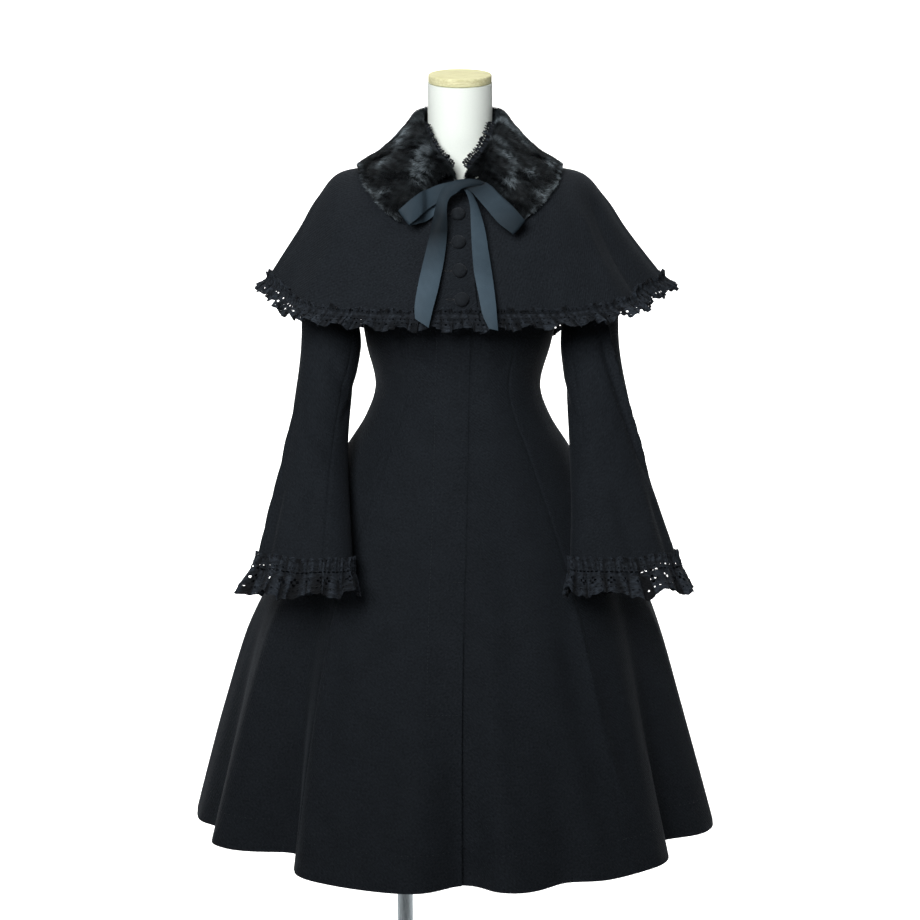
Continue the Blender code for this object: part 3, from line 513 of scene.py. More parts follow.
def streak_group() -> bpy.types.NodeTree:
    """Grain or brush marks that run one way: a colour and a height, made on its first use."""
    made = bpy.data.node_groups.get("fine_streaks")
    if made:
        return made
    inputs = (("Where", "Vector"), ("Stretch", "Vector"), ("Dark", "Color"), ("Light", "Color"))
    group, given, result = new_group("fine_streaks", inputs, (("Colour", "Color"), ("Height", "Float")))
    fineness, coarse_part, fine_part, contrast = 4.0, 0.6, 0.4, (0.35, 0.65)
    tree = ShaderTree(group)
    drawn = tree.add("VectorMath", operation="MULTIPLY")
    tree.join(given.outputs["Where"], drawn.inputs[0])
    tree.join(given.outputs["Stretch"], drawn.inputs[1])
    coarse = tree.noise(drawn.outputs[0], scale=1.0, detail=4.0)
    fine = tree.noise(tree.scaled(drawn.outputs[0], fineness), scale=1.0, detail=2.0)
    coarse_height = tree.maths("MULTIPLY", coarse, coarse_part)
    height = tree.maths("ADD", coarse_height, tree.maths("MULTIPLY", fine, fine_part))
    clear = tree.spread(height, contrast)
    tree.join(tree.blend(clear, given.outputs["Dark"], given.outputs["Light"]), result.inputs["Colour"])
    tree.join(height, result.inputs["Height"])
    return group


# Finishes


@dataclass(frozen=True)
class Finish:
    """A finish with the values that are the same all over it.

    Its roughness goes from its first value to its second one as the pattern's height goes through its span.
    """

    name: str
    dark: Triple
    light: Triple
    roughness: Pair
    relief: float
    specular: float = 0.5
    metallic: float = 0.0
    sheen: float = 0.0
    sheen_roughness: float = 0.5
    sheen_tint: Triple = (1.0, 1.0, 1.0)
    follows: Pattern = Pattern.CLOTH
    height_span: Pair = (0.2, 1.0)

    def material(self) -> bpy.types.Material:
        """The finish's material, made on its first use."""
        made = bpy.data.materials.get(self.name)
        if made:
            return made
        made = bpy.data.materials.new(self.name)
        made.use_nodes = True
        tree = ShaderTree(made.node_tree)
        shader = made.node_tree.nodes["Principled BSDF"]
        shader.inputs["Metallic"].default_value = self.metallic
        shader.inputs["Specular IOR Level"].default_value = self.specular
        shader.inputs["Sheen Weight"].default_value = self.sheen
        shader.inputs["Sheen Roughness"].default_value = self.sheen_roughness
        shader.inputs["Sheen Tint"].default_value = (*self.sheen_tint, 1.0)
        where = tree.add("TexCoord").outputs[self.follows.value]
        colour, height = self.pattern(tree, where)
        tree.join(colour, shader.inputs["Base Color"])
        tree.join(tree.spread(height, self.height_span, self.roughness), shader.inputs["Roughness"])
        tree.join(tree.bump(height, self.relief), shader.inputs["Normal"])
        made.diffuse_color = (*self.light, 1.0)
        return made

    def pattern(self, tree: ShaderTree, where: Socket) -> tuple:
        """The sockets of the finish's colour and height, for the coordinates that its pattern follows."""
        raise NotImplementedError


@dataclass(frozen=True)
class ClothFinish(Finish):
    """Woven cloth: threads a metre and patches a metre."""

    threads: float = 1000.0
    patches: float = 20.0

    def pattern(self, tree: ShaderTree, where: Socket) -> tuple:
        """The woven group's colour and height.

        Args:
            tree: the material's tree.
            where: the coordinates that the pattern follows.

        Returns:
            The colour's socket and the height's.
        """
        node = tree.add("Group", node_tree=woven_group())
        tree.join(where, node.inputs["Where"])
        node.inputs["Dark"].default_value = (*self.dark, 1.0)
        node.inputs["Light"].default_value = (*self.light, 1.0)
        node.inputs["Threads"].default_value = self.threads
        node.inputs["Patches"].default_value = self.patches
        return node.outputs["Colour"], node.outputs["Height"]


@dataclass(frozen=True)
class PaintedShadingFinish(ClothFinish):
    """Cloth with painted light and shade in its colour, by an attribute of the piece: painted shade in its
    hollows and painted highlight on its crests or brighter stretches.
    """

    # The span from painted shade to painted highlight that the tone is mapped to.
    tones: Pair = (0.0, 1.0)

    def pattern(self, tree: ShaderTree, where: Socket) -> tuple:
        """The woven group's colour, times the tone of painted light and shade, and its height."""
        colour, height = super().pattern(tree, where)
        tone = tree.add("Attribute", attribute_name="tone")
        return tree.scaled(colour, tree.spread(tone.outputs["Fac"], (0.0, 1.0), self.tones)), height


@dataclass(frozen=True)
class BackdropFinish(ClothFinish):
    """A finish that is pale in any light, and clear from behind, so that the room shows from the back."""

    glow: float = 0.45

    def material(self) -> bpy.types.Material:
        """The finish's material, made on its first use."""
        known = self.name in bpy.data.materials
        made = super().material()
        if not known:
            nodes, tree = made.node_tree.nodes, ShaderTree(made.node_tree)
            shader = nodes["Principled BSDF"]
            seen = tree.add("LightPath").outputs["Is Camera Ray"]
            tree.join(tree.maths("MULTIPLY", seen, self.glow), shader.inputs["Emission Strength"])
            chosen = tree.add("MixShader")
            tree.join(tree.add("NewGeometry").outputs["Backfacing"], chosen.inputs["Fac"])
            tree.join(shader.outputs["BSDF"], chosen.inputs[1])
            tree.join(tree.add("BsdfTransparent").outputs["BSDF"], chosen.inputs[2])
            tree.join(chosen.outputs["Shader"], nodes["Material Output"].inputs["Surface"])
        return made


@dataclass(frozen=True)
class StreakFinish(Finish):
    """Wood or brushed metal: how often its marks change along x, y and z, a metre."""

    stretch: Triple = (1.0, 1.0, 1.0)

    def pattern(self, tree: ShaderTree, where: Socket) -> tuple:
        """The streak group's colour and height.

        Args:
            tree: the material's tree.
            where: the coordinates that the pattern follows.

        Returns:
            The colour's socket and the height's.
        """
        node = tree.add("Group", node_tree=streak_group())
        tree.join(where, node.inputs["Where"])
        node.inputs["Stretch"].default_value = self.stretch
        node.inputs["Dark"].default_value = (*self.dark, 1.0)
        node.inputs["Light"].default_value = (*self.light, 1.0)
        return node.outputs["Colour"], node.outputs["Height"]


@dataclass(frozen=True)
class FurFinish(Finish):
    """Fur locks, each with its own tone in an attribute, which holds painted sheen in patches besides the
    locks' own tone, and hairs a metre that vary it.
    """

    hairs: float = 2500.0
    hair_span: Pair = (0.3, 0.7)
    hair_tones: Pair = (0.6, 1.2)

    def pattern(self, tree: ShaderTree, where: Socket) -> tuple:
        """The locks' tones, with their painted sheen, and fine hairs as the height.

        Args:
            tree: the material's tree.
            where: the coordinates that the pattern follows.

        Returns:
            The colour's socket and the height's.
        """
        tone = tree.add("Attribute", attribute_name="tone")
        hairs = tree.noise(tree.scaled(where, self.hairs), scale=1.0, detail=2.0)
        fleck = tree.spread(hairs, self.hair_span, self.hair_tones)
        share = tree.maths("MULTIPLY", tone.outputs["Fac"], fleck)
        return tree.blend(share, self.dark, self.light), hairs


WOOL = ClothFinish(
    name="black_wool", dark=(0.0041, 0.0055, 0.0075), light=(0.0116, 0.0147, 0.0189), roughness=(0.95, 0.80),
    relief=0.0008, specular=0.12, sheen=0.030, sheen_roughness=0.35, sheen_tint=(0.75, 0.87, 1.0),
    threads=430.0, patches=26.0,
)
BUTTON_WOOL = ClothFinish(
    name="button_wool", dark=(0.0044, 0.0058, 0.0078), light=(0.0120, 0.0151, 0.0192), roughness=(0.90, 0.75),
    relief=0.0004, specular=0.15, sheen=0.05, sheen_roughness=0.40, sheen_tint=(0.85, 0.92, 1.0),
    threads=1400.0, patches=120.0, follows=Pattern.SOLID,
)
# The lace's tones are painted shade in the ruffles' hollows and painted highlight on their crests.
LACE = PaintedShadingFinish(
    name="black_lace", dark=(0.0020, 0.0027, 0.0038), light=(0.0205, 0.0258, 0.0335), roughness=(0.90, 0.70),
    relief=0.0008, specular=0.12, sheen=0.02, sheen_roughness=0.45, sheen_tint=(0.85, 0.92, 1.0),
    threads=240.0, patches=90.0, tones=(0.25, 1.50),
)
THREAD = ClothFinish(
    name="black_thread", dark=(0.003, 0.0035, 0.0045), light=(0.011, 0.013, 0.016), roughness=(0.70, 0.50),
    relief=0.0002, specular=0.30, threads=3000.0, patches=200.0, follows=Pattern.SOLID,
)
FUR = FurFinish(
    name="black_fur", dark=(0.0012, 0.0014, 0.0018), light=(0.260, 0.312, 0.346), roughness=(0.55, 0.40),
    relief=0.0004, specular=0.08, follows=Pattern.SOLID,
)
# The satin's tones are painted shade near the knot and where the ribbon turns away, and painted sheen where
# it is brightest.
SATIN = PaintedShadingFinish(
    name="slate_satin", dark=(0.036, 0.055, 0.072), light=(0.062, 0.092, 0.119), roughness=(0.55, 0.40),
    relief=0.00012, specular=0.04, threads=2600.0, patches=90.0,
)
FORM_CLOTH = ClothFinish(
    name="form_jersey", dark=(0.75, 0.80, 0.75), light=(0.82, 0.87, 0.82), roughness=(0.80, 0.65),
    relief=0.0003, specular=0.20, sheen=0.05, threads=1500.0, patches=12.0, follows=Pattern.SOLID,
)
CAP_WOOD = StreakFinish(
    name="cap_wood", dark=(0.54, 0.51, 0.28), light=(0.75, 0.73, 0.47), roughness=(0.80, 0.65),
    relief=0.0002, specular=0.10, stretch=(22.0, 260.0, 260.0), follows=Pattern.SOLID,
)
STEEL = StreakFinish(
    name="brushed_steel", dark=(0.27, 0.31, 0.33), light=(0.52, 0.58, 0.61), roughness=(0.42, 0.26),
    relief=0.0001, specular=0.50, metallic=1.0, stretch=(400.0, 400.0, 30.0), follows=Pattern.SOLID,
)
FLOOR = BackdropFinish(
    name="pale_floor", dark=(0.92, 0.92, 0.92), light=(0.95, 0.95, 0.95), roughness=(0.95, 0.85),
    relief=0.0001, specular=0.10, threads=40.0, patches=2.0, follows=Pattern.SOLID,
)


# Pieces


def new_piece(name: str, points: Array, faces: Sequence[Sequence[int]], finish: Finish,
              uv: Array | None = None) -> Piece:
    """Makes a mesh object at the origin.

    Args:
        name: the piece's name.
        points: its points, one row each.
        faces: its faces, as rows of point numbers.
        finish: its finish.
        uv: a place in the cloth for each point, in metres.

    Returns:
        The object, linked to the scene.
    """
    mesh = bpy.data.meshes.new(name)
    mesh.from_pydata(points.tolist(), [], faces if isinstance(faces, list) else faces.tolist())
    if uv is not None:
        layer = mesh.uv_layers.new(name="cloth")
        corners = np.empty(len(mesh.loops), dtype=np.int32)
        mesh.loops.foreach_get("vertex_index", corners)
        layer.uv.foreach_set("vector", uv[corners].astype(np.float32).ravel())
    mesh.materials.append(finish.material())
    piece = bpy.data.objects.new(name, mesh)
    bpy.context.scene.collection.objects.link(piece)
    return piece


def make_active(piece: Piece) -> None:
    """Selects one piece alone and makes it the active one."""
    bpy.ops.object.select_all(action="DESELECT")
    piece.select_set(True)
    bpy.context.view_layer.objects.active = piece


def new_primitive(name: str, add: Callable[..., set], **settings: object) -> tuple[Piece, Array]:
    """Adds a primitive to shape a piece from.

    Args:
        name: the piece's name.
        add: the operator that adds it.
        settings: the operator's settings.

    Returns:
        The piece and its points.
    """
    bpy.ops.object.select_all(action="DESELECT")
    add(**settings)
    piece = bpy.context.active_object
    piece.name = piece.data.name = name
    return piece, np.array([vertex.co for vertex in piece.data.vertices])


def move_points(piece: Piece, points: Array) -> None:
    """Puts a piece's points at new places."""
    piece.data.vertices.foreach_set("co", points.astype(np.float32).ravel())


def apply_modifier(piece: Piece, kind: str, **settings: object) -> None:
    """Adds a modifier and applies it.

    Args:
        piece: the piece.
        kind: the modifier's type.
        settings: the modifier's settings.
    """
    make_active(piece)
    modifier = piece.modifiers.new(kind.lower(), kind)
    for name, value in settings.items():
        setattr(modifier, name, value)
    bpy.ops.object.modifier_apply(modifier=modifier.name)


def smooth_shade(piece: Piece, angle: float) -> None:
    """Shades a piece smooth, with edges sharper than an angle in degrees left sharp."""
    make_active(piece)
    bpy.ops.object.shade_smooth_by_angle(angle=math.radians(angle))


def set_tone(piece: Piece, values: Array) -> None:
    """Gives each point of a piece its tone."""
    tone = piece.data.attributes.new("tone", "FLOAT", "POINT")
    tone.data.foreach_set("value", np.asarray(values, dtype=np.float32).ravel())


def dress(piece: Piece, finish: Finish, sharp: float) -> None:
    """Gives a piece its finish, and shades it smooth up to an angle in degrees."""
    piece.data.materials.append(finish.material())
    smooth_shade(piece, sharp)


def settle(piece: Piece, slot: str, *nodes: str) -> None:
    """Lets a finished piece ride on the part's body, and take the place of solids.

    Args:
        piece: the piece.
        slot: not used.
        nodes: the solids that it stands for.
    """
    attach(piece, BODY)
    if nodes:
        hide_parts(*nodes)
    LOG.info("%s: %d faces", piece.name, len(piece.data.polygons))


@dataclass
class Sheet:
    """A grid of points that makes one piece of cloth, rows by columns."""

    points: Array
    flip: bool = False
    keep: Array | None = None

    def arcs(self) -> Array:
        """Each point's place in the flat cloth: its way across its row and up its column."""
        across = np.linalg.norm(np.diff(self.points, axis=1), axis=-1)
        up = np.linalg.norm(np.diff(self.points, axis=0), axis=-1)
        u = np.concatenate([np.zeros((len(self.points), 1)), np.cumsum(across, axis=1)], axis=1)
        v = np.concatenate([np.zeros((1, self.points.shape[1])), np.cumsum(up, axis=0)], axis=0)
        return np.stack([u - u[:, -1:] / 2, v], axis=-1)

    def quads(self) -> Array:
        """The grid's faces, turned so that they point outwards."""
        rows, columns = self.points.shape[:2]
        index = np.arange(rows * columns).reshape(rows, columns)
        faces = np.stack([index[:-1, :-1], index[:-1, 1:], index[1:, 1:], index[1:, :-1]], axis=-1)
        faces = faces[self.keep] if self.keep is not None else faces.reshape(-1, 4)
        return faces[:, ::-1] if self.flip else faces

    def area(self) -> float:
        """The area of the cloth that is kept."""
        return float(np.linalg.norm(self.facings(), axis=-1).sum() / 2)

    def facings(self) -> Array:
        """Each face's outward direction, twice as long as its area."""
        flat = self.points.reshape(-1, 3)[self.quads()]
        return np.cross(flat[:, 2] - flat[:, 0], flat[:, 3] - flat[:, 1])

    def crests(self, reach: int, depth: float) -> Array:
        """How far each point stands out from the cloth on both sides of it.

        Args:
            reach: how many columns away the cloth is looked at.
            depth: the height from a hollow to a crest.

        Returns:
            From 0 in a hollow to 1 on a crest, for each point.
        """
        ahead, down = np.gradient(self.points, axis=1), np.gradient(self.points, axis=0)
        out = unit(np.cross(ahead, down)) * (-1.0 if self.flip else 1.0)
        column = np.arange(self.points.shape[1])
        before, after = np.maximum(column - reach, 0), np.minimum(column + reach, column[-1])
        chord = (self.points[:, before] + self.points[:, after]) / 2
        return smooth_step(0.5 + ((self.points - chord) * out).sum(axis=-1) / depth)

    def build(self, name: str, finish: Finish, wall: float, sharp: float = 55.0,
              tone: Array | None = None) -> Piece:
        """Makes the piece as a wall of cloth with its outside on the grid.

        Args:
            name: the piece's name.
            finish: its finish.
            wall: its thickness.
            sharp: the angle in degrees past which edges stay sharp.
            tone: how light each point is, as painted light and shade, for a finish that asks for it.

        Returns:
            The piece.
        """
        faces = self.quads()
        used, numbers = np.unique(faces, return_inverse=True)
        points = self.points.reshape(-1, 3)[used]
        uv = self.arcs().reshape(-1, 2)[used]
        piece = new_piece(name, points, numbers.reshape(-1, 4), finish, uv)
        if tone is not None:
            set_tone(piece, tone.ravel()[used])
        apply_modifier(piece, "SOLIDIFY", thickness=wall, offset=-1.0)
        smooth_shade(piece, sharp)
        return piece

    def declare(self, piece: Piece, held: str, rests_on: Sequence[str],
                with_pieces: Sequence[Piece] = ()) -> None:
        """Measures the flat cut of the piece: its width, length and area, which it does not keep.

        Args:
            piece: the finished piece, not used.
            held: how the cloth is held, not used.
            rests_on: what it lies on or hangs from, not used.
            with_pieces: the pieces that are sewn on it, not used.
        """
        spans = self.arcs()
        width = float((spans[:, -1, 0] - spans[:, 0, 0]).max())
        length = float(spans[-1, :, 1].max())
        area = min(self.area(), width * length)


@dataclass(frozen=True)
class StitchRow:
    """A row of short stitches along a line, each a low roof whose foot is sunk in the cloth."""

    length: float = 0.0032
    gap: float = 0.0016
    width: float = 0.0007
    height: float = 0.00035
    sunk: float = 0.0002
    ridge_share: float = 0.6
    step: float = 0.0005

    def build(self, name: str, line: Array, out: Array) -> Piece:
        """Sews the row.

        Args:
            name: the piece's name.
            line: close points along the line, on the cloth.
            out: the cloth's outward direction at each point.

        Returns:
            The stitches as one piece.
        """
        way = way_along(line)
        middles = np.arange(self.length / 2, way[-1], self.length + self.gap)
        middle, up = line_points(middles, way, line), unit(line_points(middles, way, out))
        before, after = (line_points(middles + step, way, line) for step in (-self.step, self.step))
        ahead = unit(after - before)
        half, side = ahead * self.length / 2, np.cross(up, ahead) * self.width / 2
        foot, ridge, ridge_half = middle - up * self.sunk, middle + up * self.height, half * self.ridge_share
        points = np.stack([foot - half - side, foot + half - side, foot + half + side, foot - half + side,
                           ridge - ridge_half, ridge + ridge_half], axis=1).reshape(-1, 3)
        shape = ((0, 3, 2, 1), (0, 1, 5, 4), (2, 3, 4, 5), (0, 4, 3), (1, 2, 5))
        faces = [[6 * row + corner for corner in face] for row in range(len(middles)) for face in shape]
        piece = new_piece(name, points, faces, THREAD)
        settle(piece, "wool")
        return piece


# Coat body


@dataclass(frozen=True)
class CoatShape:
    """The outside of the coat's body. Its level is 0 at the hem, 1 at the bust and 2 at the upper edge."""

    hem: float = 0.355
    hem_side_rise: float = 0.015
    bust: float = 1.115
    chest_rise: float = 0.45
    fold_growth: float = 1.3
    rings: SmoothTable = SmoothTable("z half_width front back shift", (
        (0.355, 0.385, 0.374, 0.386, -0.003),
        (0.54, 0.332, 0.308, 0.326, -0.006),
        (0.685, 0.284, 0.244, 0.264, -0.006),
        (0.8, 0.224, 0.19, 0.206, -0.004),
        (0.912, 0.16, 0.139, 0.149, -0.003),
        (0.953, 0.134, 0.118, 0.119, -0.003),
        (0.998, 0.1195, 0.105, 0.095, -0.003),
        (1.055, 0.133, 0.12, 0.104, -0.002),
        (1.115, 0.145, 0.139, 0.114, 0.0),
    ))
    folds: tuple[Fold, ...] = (
        Fold(-157, 0.042, 7.5, 0.8),
        Fold(-131, 0.056, 8.5, 0.84),
        Fold(-104, 0.046, 8.0, 0.82),
        Fold(-73, 0.03, 5.5, 0.74),
        Fold(-46, 0.076, 8.0, 0.84),
        Fold(1, 0.044, 6.0, 0.66),
        Fold(23, 0.022, 5.5, 0.62),
        Fold(60, 0.056, 7.5, 0.84),
        Fold(84, 0.01, 14.0, 0.7),
        Fold(101, 0.044, 8.0, 0.8),
        Fold(128, 0.058, 9.0, 0.85),
        Fold(155, 0.044, 7.5, 0.78),
        Fold(180, 0.052, 8.0, 0.83),
    )
    edge: StraightTable = StraightTable("angle x y z lead_y lead_z", (
        (-12, -0.04, -0.056, 1.298, -0.016, -0.028),
        (0, 0.0, -0.072, 1.28, -0.014, -0.03),
        (12, 0.04, -0.056, 1.298, -0.016, -0.028),
        (22, 0.066, -0.0002, 1.332, -0.05, 0.0),
        (37, 0.12, -0.0002, 1.309, -0.048, 0.0),
        (52, 0.176, -0.0002, 1.281, -0.04, 0.0),
        (62, 0.1675, -0.047, 1.235, 0.0, -0.03),
        (74, 0.156, -0.05, 1.182, 0.0, -0.02),
        (90, 0.1475, 0.0, 1.128, 0.0, -0.004),
        (106, 0.157, 0.05, 1.182, 0.0, -0.02),
        (118, 0.1685, 0.047, 1.235, 0.0, -0.03),
        (128, 0.176, 0.0002, 1.281, 0.04, 0.0),
        (143, 0.12, 0.0002, 1.309, 0.048, 0.0),
        (158, 0.066, 0.0002, 1.332, 0.05, 0.0),
        (168, 0.042, 0.05, 1.345, 0.012, -0.026),
        (180, 0.0, 0.066, 1.349, 0.012, -0.028),
        (192, -0.042, 0.05, 1.345, 0.012, -0.026),
    ))
    creases: CreaseField = CreaseField(per_degree=0.0042, per_along=1.0, creases=(
        Crease(-37.0, 0.76, -32.5, 0.38, 0.009, 0.002),
        Crease(-33.5, 0.7, -27.0, 0.36, 0.015, -0.005),
        Crease(-60.0, 0.74, -61.0, 0.37, 0.014, 0.005),
        Crease(-17.0, 0.9, -19.0, 0.35, 0.028, -0.006),
        Crease(-9.0, 0.62, -10.0, 0.35, 0.016, 0.004),
        Crease(35.0, 0.76, 37.5, 0.48, 0.006, 0.0034),
        Crease(37.5, 0.48, 42.5, 0.43, 0.007, 0.0034),
        Crease(30.0, 0.72, 33.0, 0.36, 0.014, -0.0045),
        Crease(46.5, 0.66, 44.0, 0.36, 0.013, 0.0036),
        Crease(16.0, 0.9, 13.0, 0.35, 0.026, -0.005),
        Crease(9.0, 0.64, 10.0, 0.35, 0.012, 0.003),
        Crease(-16.0, 1.006, -5.0, 0.992, 0.009, 0.0022),
        Crease(-24.0, 0.975, -9.0, 0.962, 0.008, -0.0022),
        Crease(7.0, 0.995, 20.0, 1.005, 0.0085, 0.0018),
        Crease(-30.0, 1.04, -16.0, 1.02, 0.01, -0.002),
        Crease(20.0, 1.045, 32.0, 1.03, 0.01, -0.002),
        Crease(-84.0, 0.72, -88.0, 0.38, 0.013, 0.0045),
        Crease(74.0, 0.72, 76.0, 0.38, 0.014, 0.0045),
        Crease(112.0, 0.74, 114.0, 0.38, 0.014, 0.005),
        Crease(141.0, 0.76, 143.0, 0.39, 0.008, 0.0034),
        Crease(-118.0, 0.74, -116.0, 0.38, 0.015, 0.005),
        Crease(-143.0, 0.76, -145.0, 0.39, 0.008, 0.0034),
        Crease(166.0, 0.72, 168.0, 0.38, 0.012, 0.004),
        Crease(-168.0, 0.72, -169.0, 0.38, 0.012, 0.004),
    ))

    def ring_point(self, angle: Array, z: Array) -> Array:
        """Points on the outside below the bust, with the flare folds.

        Args:
            angle: angles round the body, 0 at the front.
            z: heights of the points.

        Returns:
            The points.
        """
        half_width = self.rings("half_width", z)
        pull = np.zeros(np.broadcast(angle, z).shape)
        for fold in self.folds:
            drop = np.clip((fold.top - z) / (fold.top - self.hem), 0, None)
            pull = pull + fold.depth * fold.reach(angle) * drop**self.fold_growth
        shrink = 1 - pull / half_width
        turn = np.radians(angle)
        reach = np.where(np.cos(turn) > 0, self.rings("front", z), self.rings("back", z))
        x = half_width * np.sin(turn) * shrink + self.rings("shift", z)
        return vectors(x, -reach * np.cos(turn) * shrink, z)

    def bodice_point(self, angle: Array, share: Array) -> Array:
        """Points between the bust and the upper edge.

        Args:
            angle: angles round the body, 0 at the front.
            share: 0 at the bust and 1 at the upper edge.

        Returns:
            The points.
        """
        mirror = np.where(angle < self.edge.at[0], -1.0, 1.0)
        angle = angle * mirror
        start = self.ring_point(angle, np.full(angle.shape, self.bust))
        end = vectors(self.edge("x", angle), self.edge("y", angle), self.edge("z", angle))
        rise = start + vectors(0.0, 0.0, self.chest_rise * (end[..., 2] - start[..., 2]))
        lead = end + vectors(0.0, self.edge("lead_y", angle), self.edge("lead_z", angle))
        on, rest = share[..., None], 1 - share[..., None]
        point = start * rest**3 + rise * 3 * on * rest**2 + lead * 3 * on**2 * rest + end * on**3
        point[..., 0] *= mirror
        return point

    def smooth_point(self, angle: Array, level: Array) -> Array:
        """Points on the outside without its creases.

        Args:
            angle: angles of the points.
            level: levels of the points.

        Returns:
            The points.
        """
        angle, level = np.broadcast_arrays(np.asarray(angle, float), np.asarray(level, float))
        hem = self.hem + self.hem_side_rise * np.sin(np.radians(angle)) ** 2
        skirt = self.ring_point(angle, mix(hem, self.bust, np.minimum(level, 1.0)))
        bodice = self.bodice_point(angle, np.maximum(level - 1, 0.0))
        return np.where((level <= 1)[..., None], skirt, bodice)

    def outward(self, angle: Array, level: Array) -> Array:
        """Outward normals of the smooth outside."""
        return normals(self.smooth_point, angle, np.minimum(level, 2 - STEP_ALONG))

    def lap_angle(self, reach: Array, level: Array) -> Array:
        """The angle of a front edge that lies a given distance past the middle."""
        width = self.rings("half_width", np.minimum(mix(self.hem, self.bust, level), self.bust))
        return np.degrees(np.arcsin(reach / width))


@dataclass
class CoatBody:
    """Eight flared panels, with the sewing that shows on them.

    The sizes of the sewing are ways along the cloth, and its angles are measured back from the front edge.
    """

    shape: CoatShape = field(default_factory=CoatShape)
    seams: Triple = (37.0, 90.0, 143.0)
    lap_at_waist: float = 0.017
    lap_at_hem: float = 0.006
    underlap: float = 0.025
    lap_ease: float = 0.035
    lap_room_at_hem: float = 0.006
    lap_room_level: float = 0.6
    columns: int = 48
    skirt_rows: int = 92
    bodice_rows: int = 14
    crease_fade: float = 0.6
    seam_dip: SeamDip = SeamDip(0.0010, 0.0026)
    fly_width: float = 0.047
    fly_top_level: float = 0.97
    fly_foot: float = 0.572
    fly_measured_at: Pair = (4.0, 5.0)
    fly_foot_end: float = 1.0
    tack_heights: Triple = (0.925, 0.831, 0.739)
    tack_span: Pair = (-3.6, -0.6)
    hem_depth: float = 0.045
    stitches: StitchRow = StitchRow()
    fly_points: int = 400
    foot_points: int = 60
    tack_points: int = 12
    hem_points: int = 300
    tack: StitchRow = StitchRow(length=0.0060, gap=0.0010, width=0.0011, height=0.0006)
    hem_stitch: StitchRow = StitchRow(length=0.0024, gap=0.0060, width=0.0006, height=0.00025)

    def levels(self) -> Array:
        """Levels of the panels' rows from the hem to the upper edge."""
        skirt = np.linspace(0, 1, self.skirt_rows + 1)
        return np.concatenate([skirt, np.linspace(1, 2, self.bodice_rows + 1)[1:]])

    def level_at(self, height: float) -> float:
        """The level of a height below the bust."""
        return (height - self.shape.hem) / (self.shape.bust - self.shape.hem)

    def seam(self, angle: float) -> Array:
        """A panel's edge along a seam, as an angle for each level."""
        return np.full(self.skirt_rows + self.bodice_rows + 1, float(angle))

    def lap_edge(self, level: Array) -> Array:
        """The right front's edge, which laps past the middle, as an angle for each level."""
        return self.shape.lap_angle(mix(self.lap_at_hem, self.lap_at_waist, np.minimum(level, 1)), level)

    def place(self, angle: Array, level: Array, tucked: bool, sunk: Array | float = 0.0) -> Array:
        """Points of the dressed cloth.

        Args:
            angle: angles of the points.
            level: levels of the points.
            tucked: whether the cloth passes under the right front.
            sunk: how far each point is drawn in, as along a seam.

        Returns:
            The points.
        """
        point = self.shape.smooth_point(angle, level)
        fade = smooth_step((2 - level) / self.crease_fade)
        out = self.shape.creases.relief(angle, point[..., 2]) * fade - sunk
        if tucked:
            room = mix(self.lap_room_at_hem, LAYER_GAP, np.minimum(level / self.lap_room_level, 1))
            under = 1 - smooth_step((point[..., 0] - self.lap_at_waist) / self.lap_ease)
            out = out - (WOOL_WALL + room) * under
        return point + self.shape.outward(angle, level) * out[..., None]

    def panel(self, name: str, low: Array, high: Array, sewn: tuple[bool, bool],
              tucked: bool) -> tuple[Piece, Sheet]:
        """Builds one panel between two edges.

        Args:
            name: the name of the solid that the panel stands for.
            low: the edge at lower angles, for each level.
            high: the edge at higher angles, for each level.
            sewn: whether the low and the high edge are seams.
            tucked: whether the panel passes under the right front.

        Returns:
            The piece and its sheet.
        """
        angle = mix(low[:, None], high[:, None], eased_shares(self.columns)[None, :])
        level = np.broadcast_to(self.levels()[:, None], angle.shape)
        sunk = self.seam_dip.sunk(self.shape.smooth_point(angle, level), *sewn)
        sheet = Sheet(self.place(angle, level, tucked, sunk))
        piece = sheet.build(f"wool_{name}", WOOL, WOOL_WALL)
        settle(piece, "wool", name)
        return piece, sheet

    def sew(self, name: str, row: StitchRow, angle: Array, level: Array, tucked: bool = False) -> Piece:
        """Sews a row of stitches on the cloth, through close points at some angles and levels."""
        return row.build(name, self.place(angle, level, tucked), self.shape.outward(angle, level))

    def fly_stitches(self) -> list[Piece]:
        """The two stitch lines of the concealed buttoning on the right front."""
        level = np.linspace(self.level_at(self.fly_foot), self.fly_top_level, self.fly_points)
        edge = self.lap_edge(level)
        near, far = (self.shape.smooth_point(edge - apart, level) for apart in self.fly_measured_at)
        line = edge - self.fly_width / np.linalg.norm(near - far, axis=-1)
        across = np.linspace(line[0], edge[0] - self.fly_foot_end, self.foot_points)
        return [self.sew("fly_stitches", self.stitches, line, level),
                self.sew("fly_foot_stitches", self.stitches, across, np.full(self.foot_points, level[0]))]

    def tacks(self) -> list[Piece]:
        """Short bars of thread beside the front edge, where the hidden buttons are held."""
        pieces = []
        for number, height in enumerate(self.tack_heights, start=1):
            level = np.full(self.tack_points, self.level_at(height))
            angle = self.lap_edge(level) + np.linspace(*self.tack_span, self.tack_points)
            pieces.append(self.sew(f"fly_tack_{number}", self.tack, angle, level))
        return pieces

    def hem_stitches(self, name: str, low: Array, high: Array, tucked: bool) -> Piece:
        """A row of hem stitches along the foot of one panel, between its two edges."""
        level = np.full(self.hem_points, self.hem_depth / (self.shape.bust - self.shape.hem))
        row = int(round(level[0] * self.skirt_rows))
        angle = np.linspace(low[row], high[row], self.hem_points + 2)[1:-1]
        return self.sew(f"hem_stitches_{name}", self.hem_stitch, angle, level, tucked)

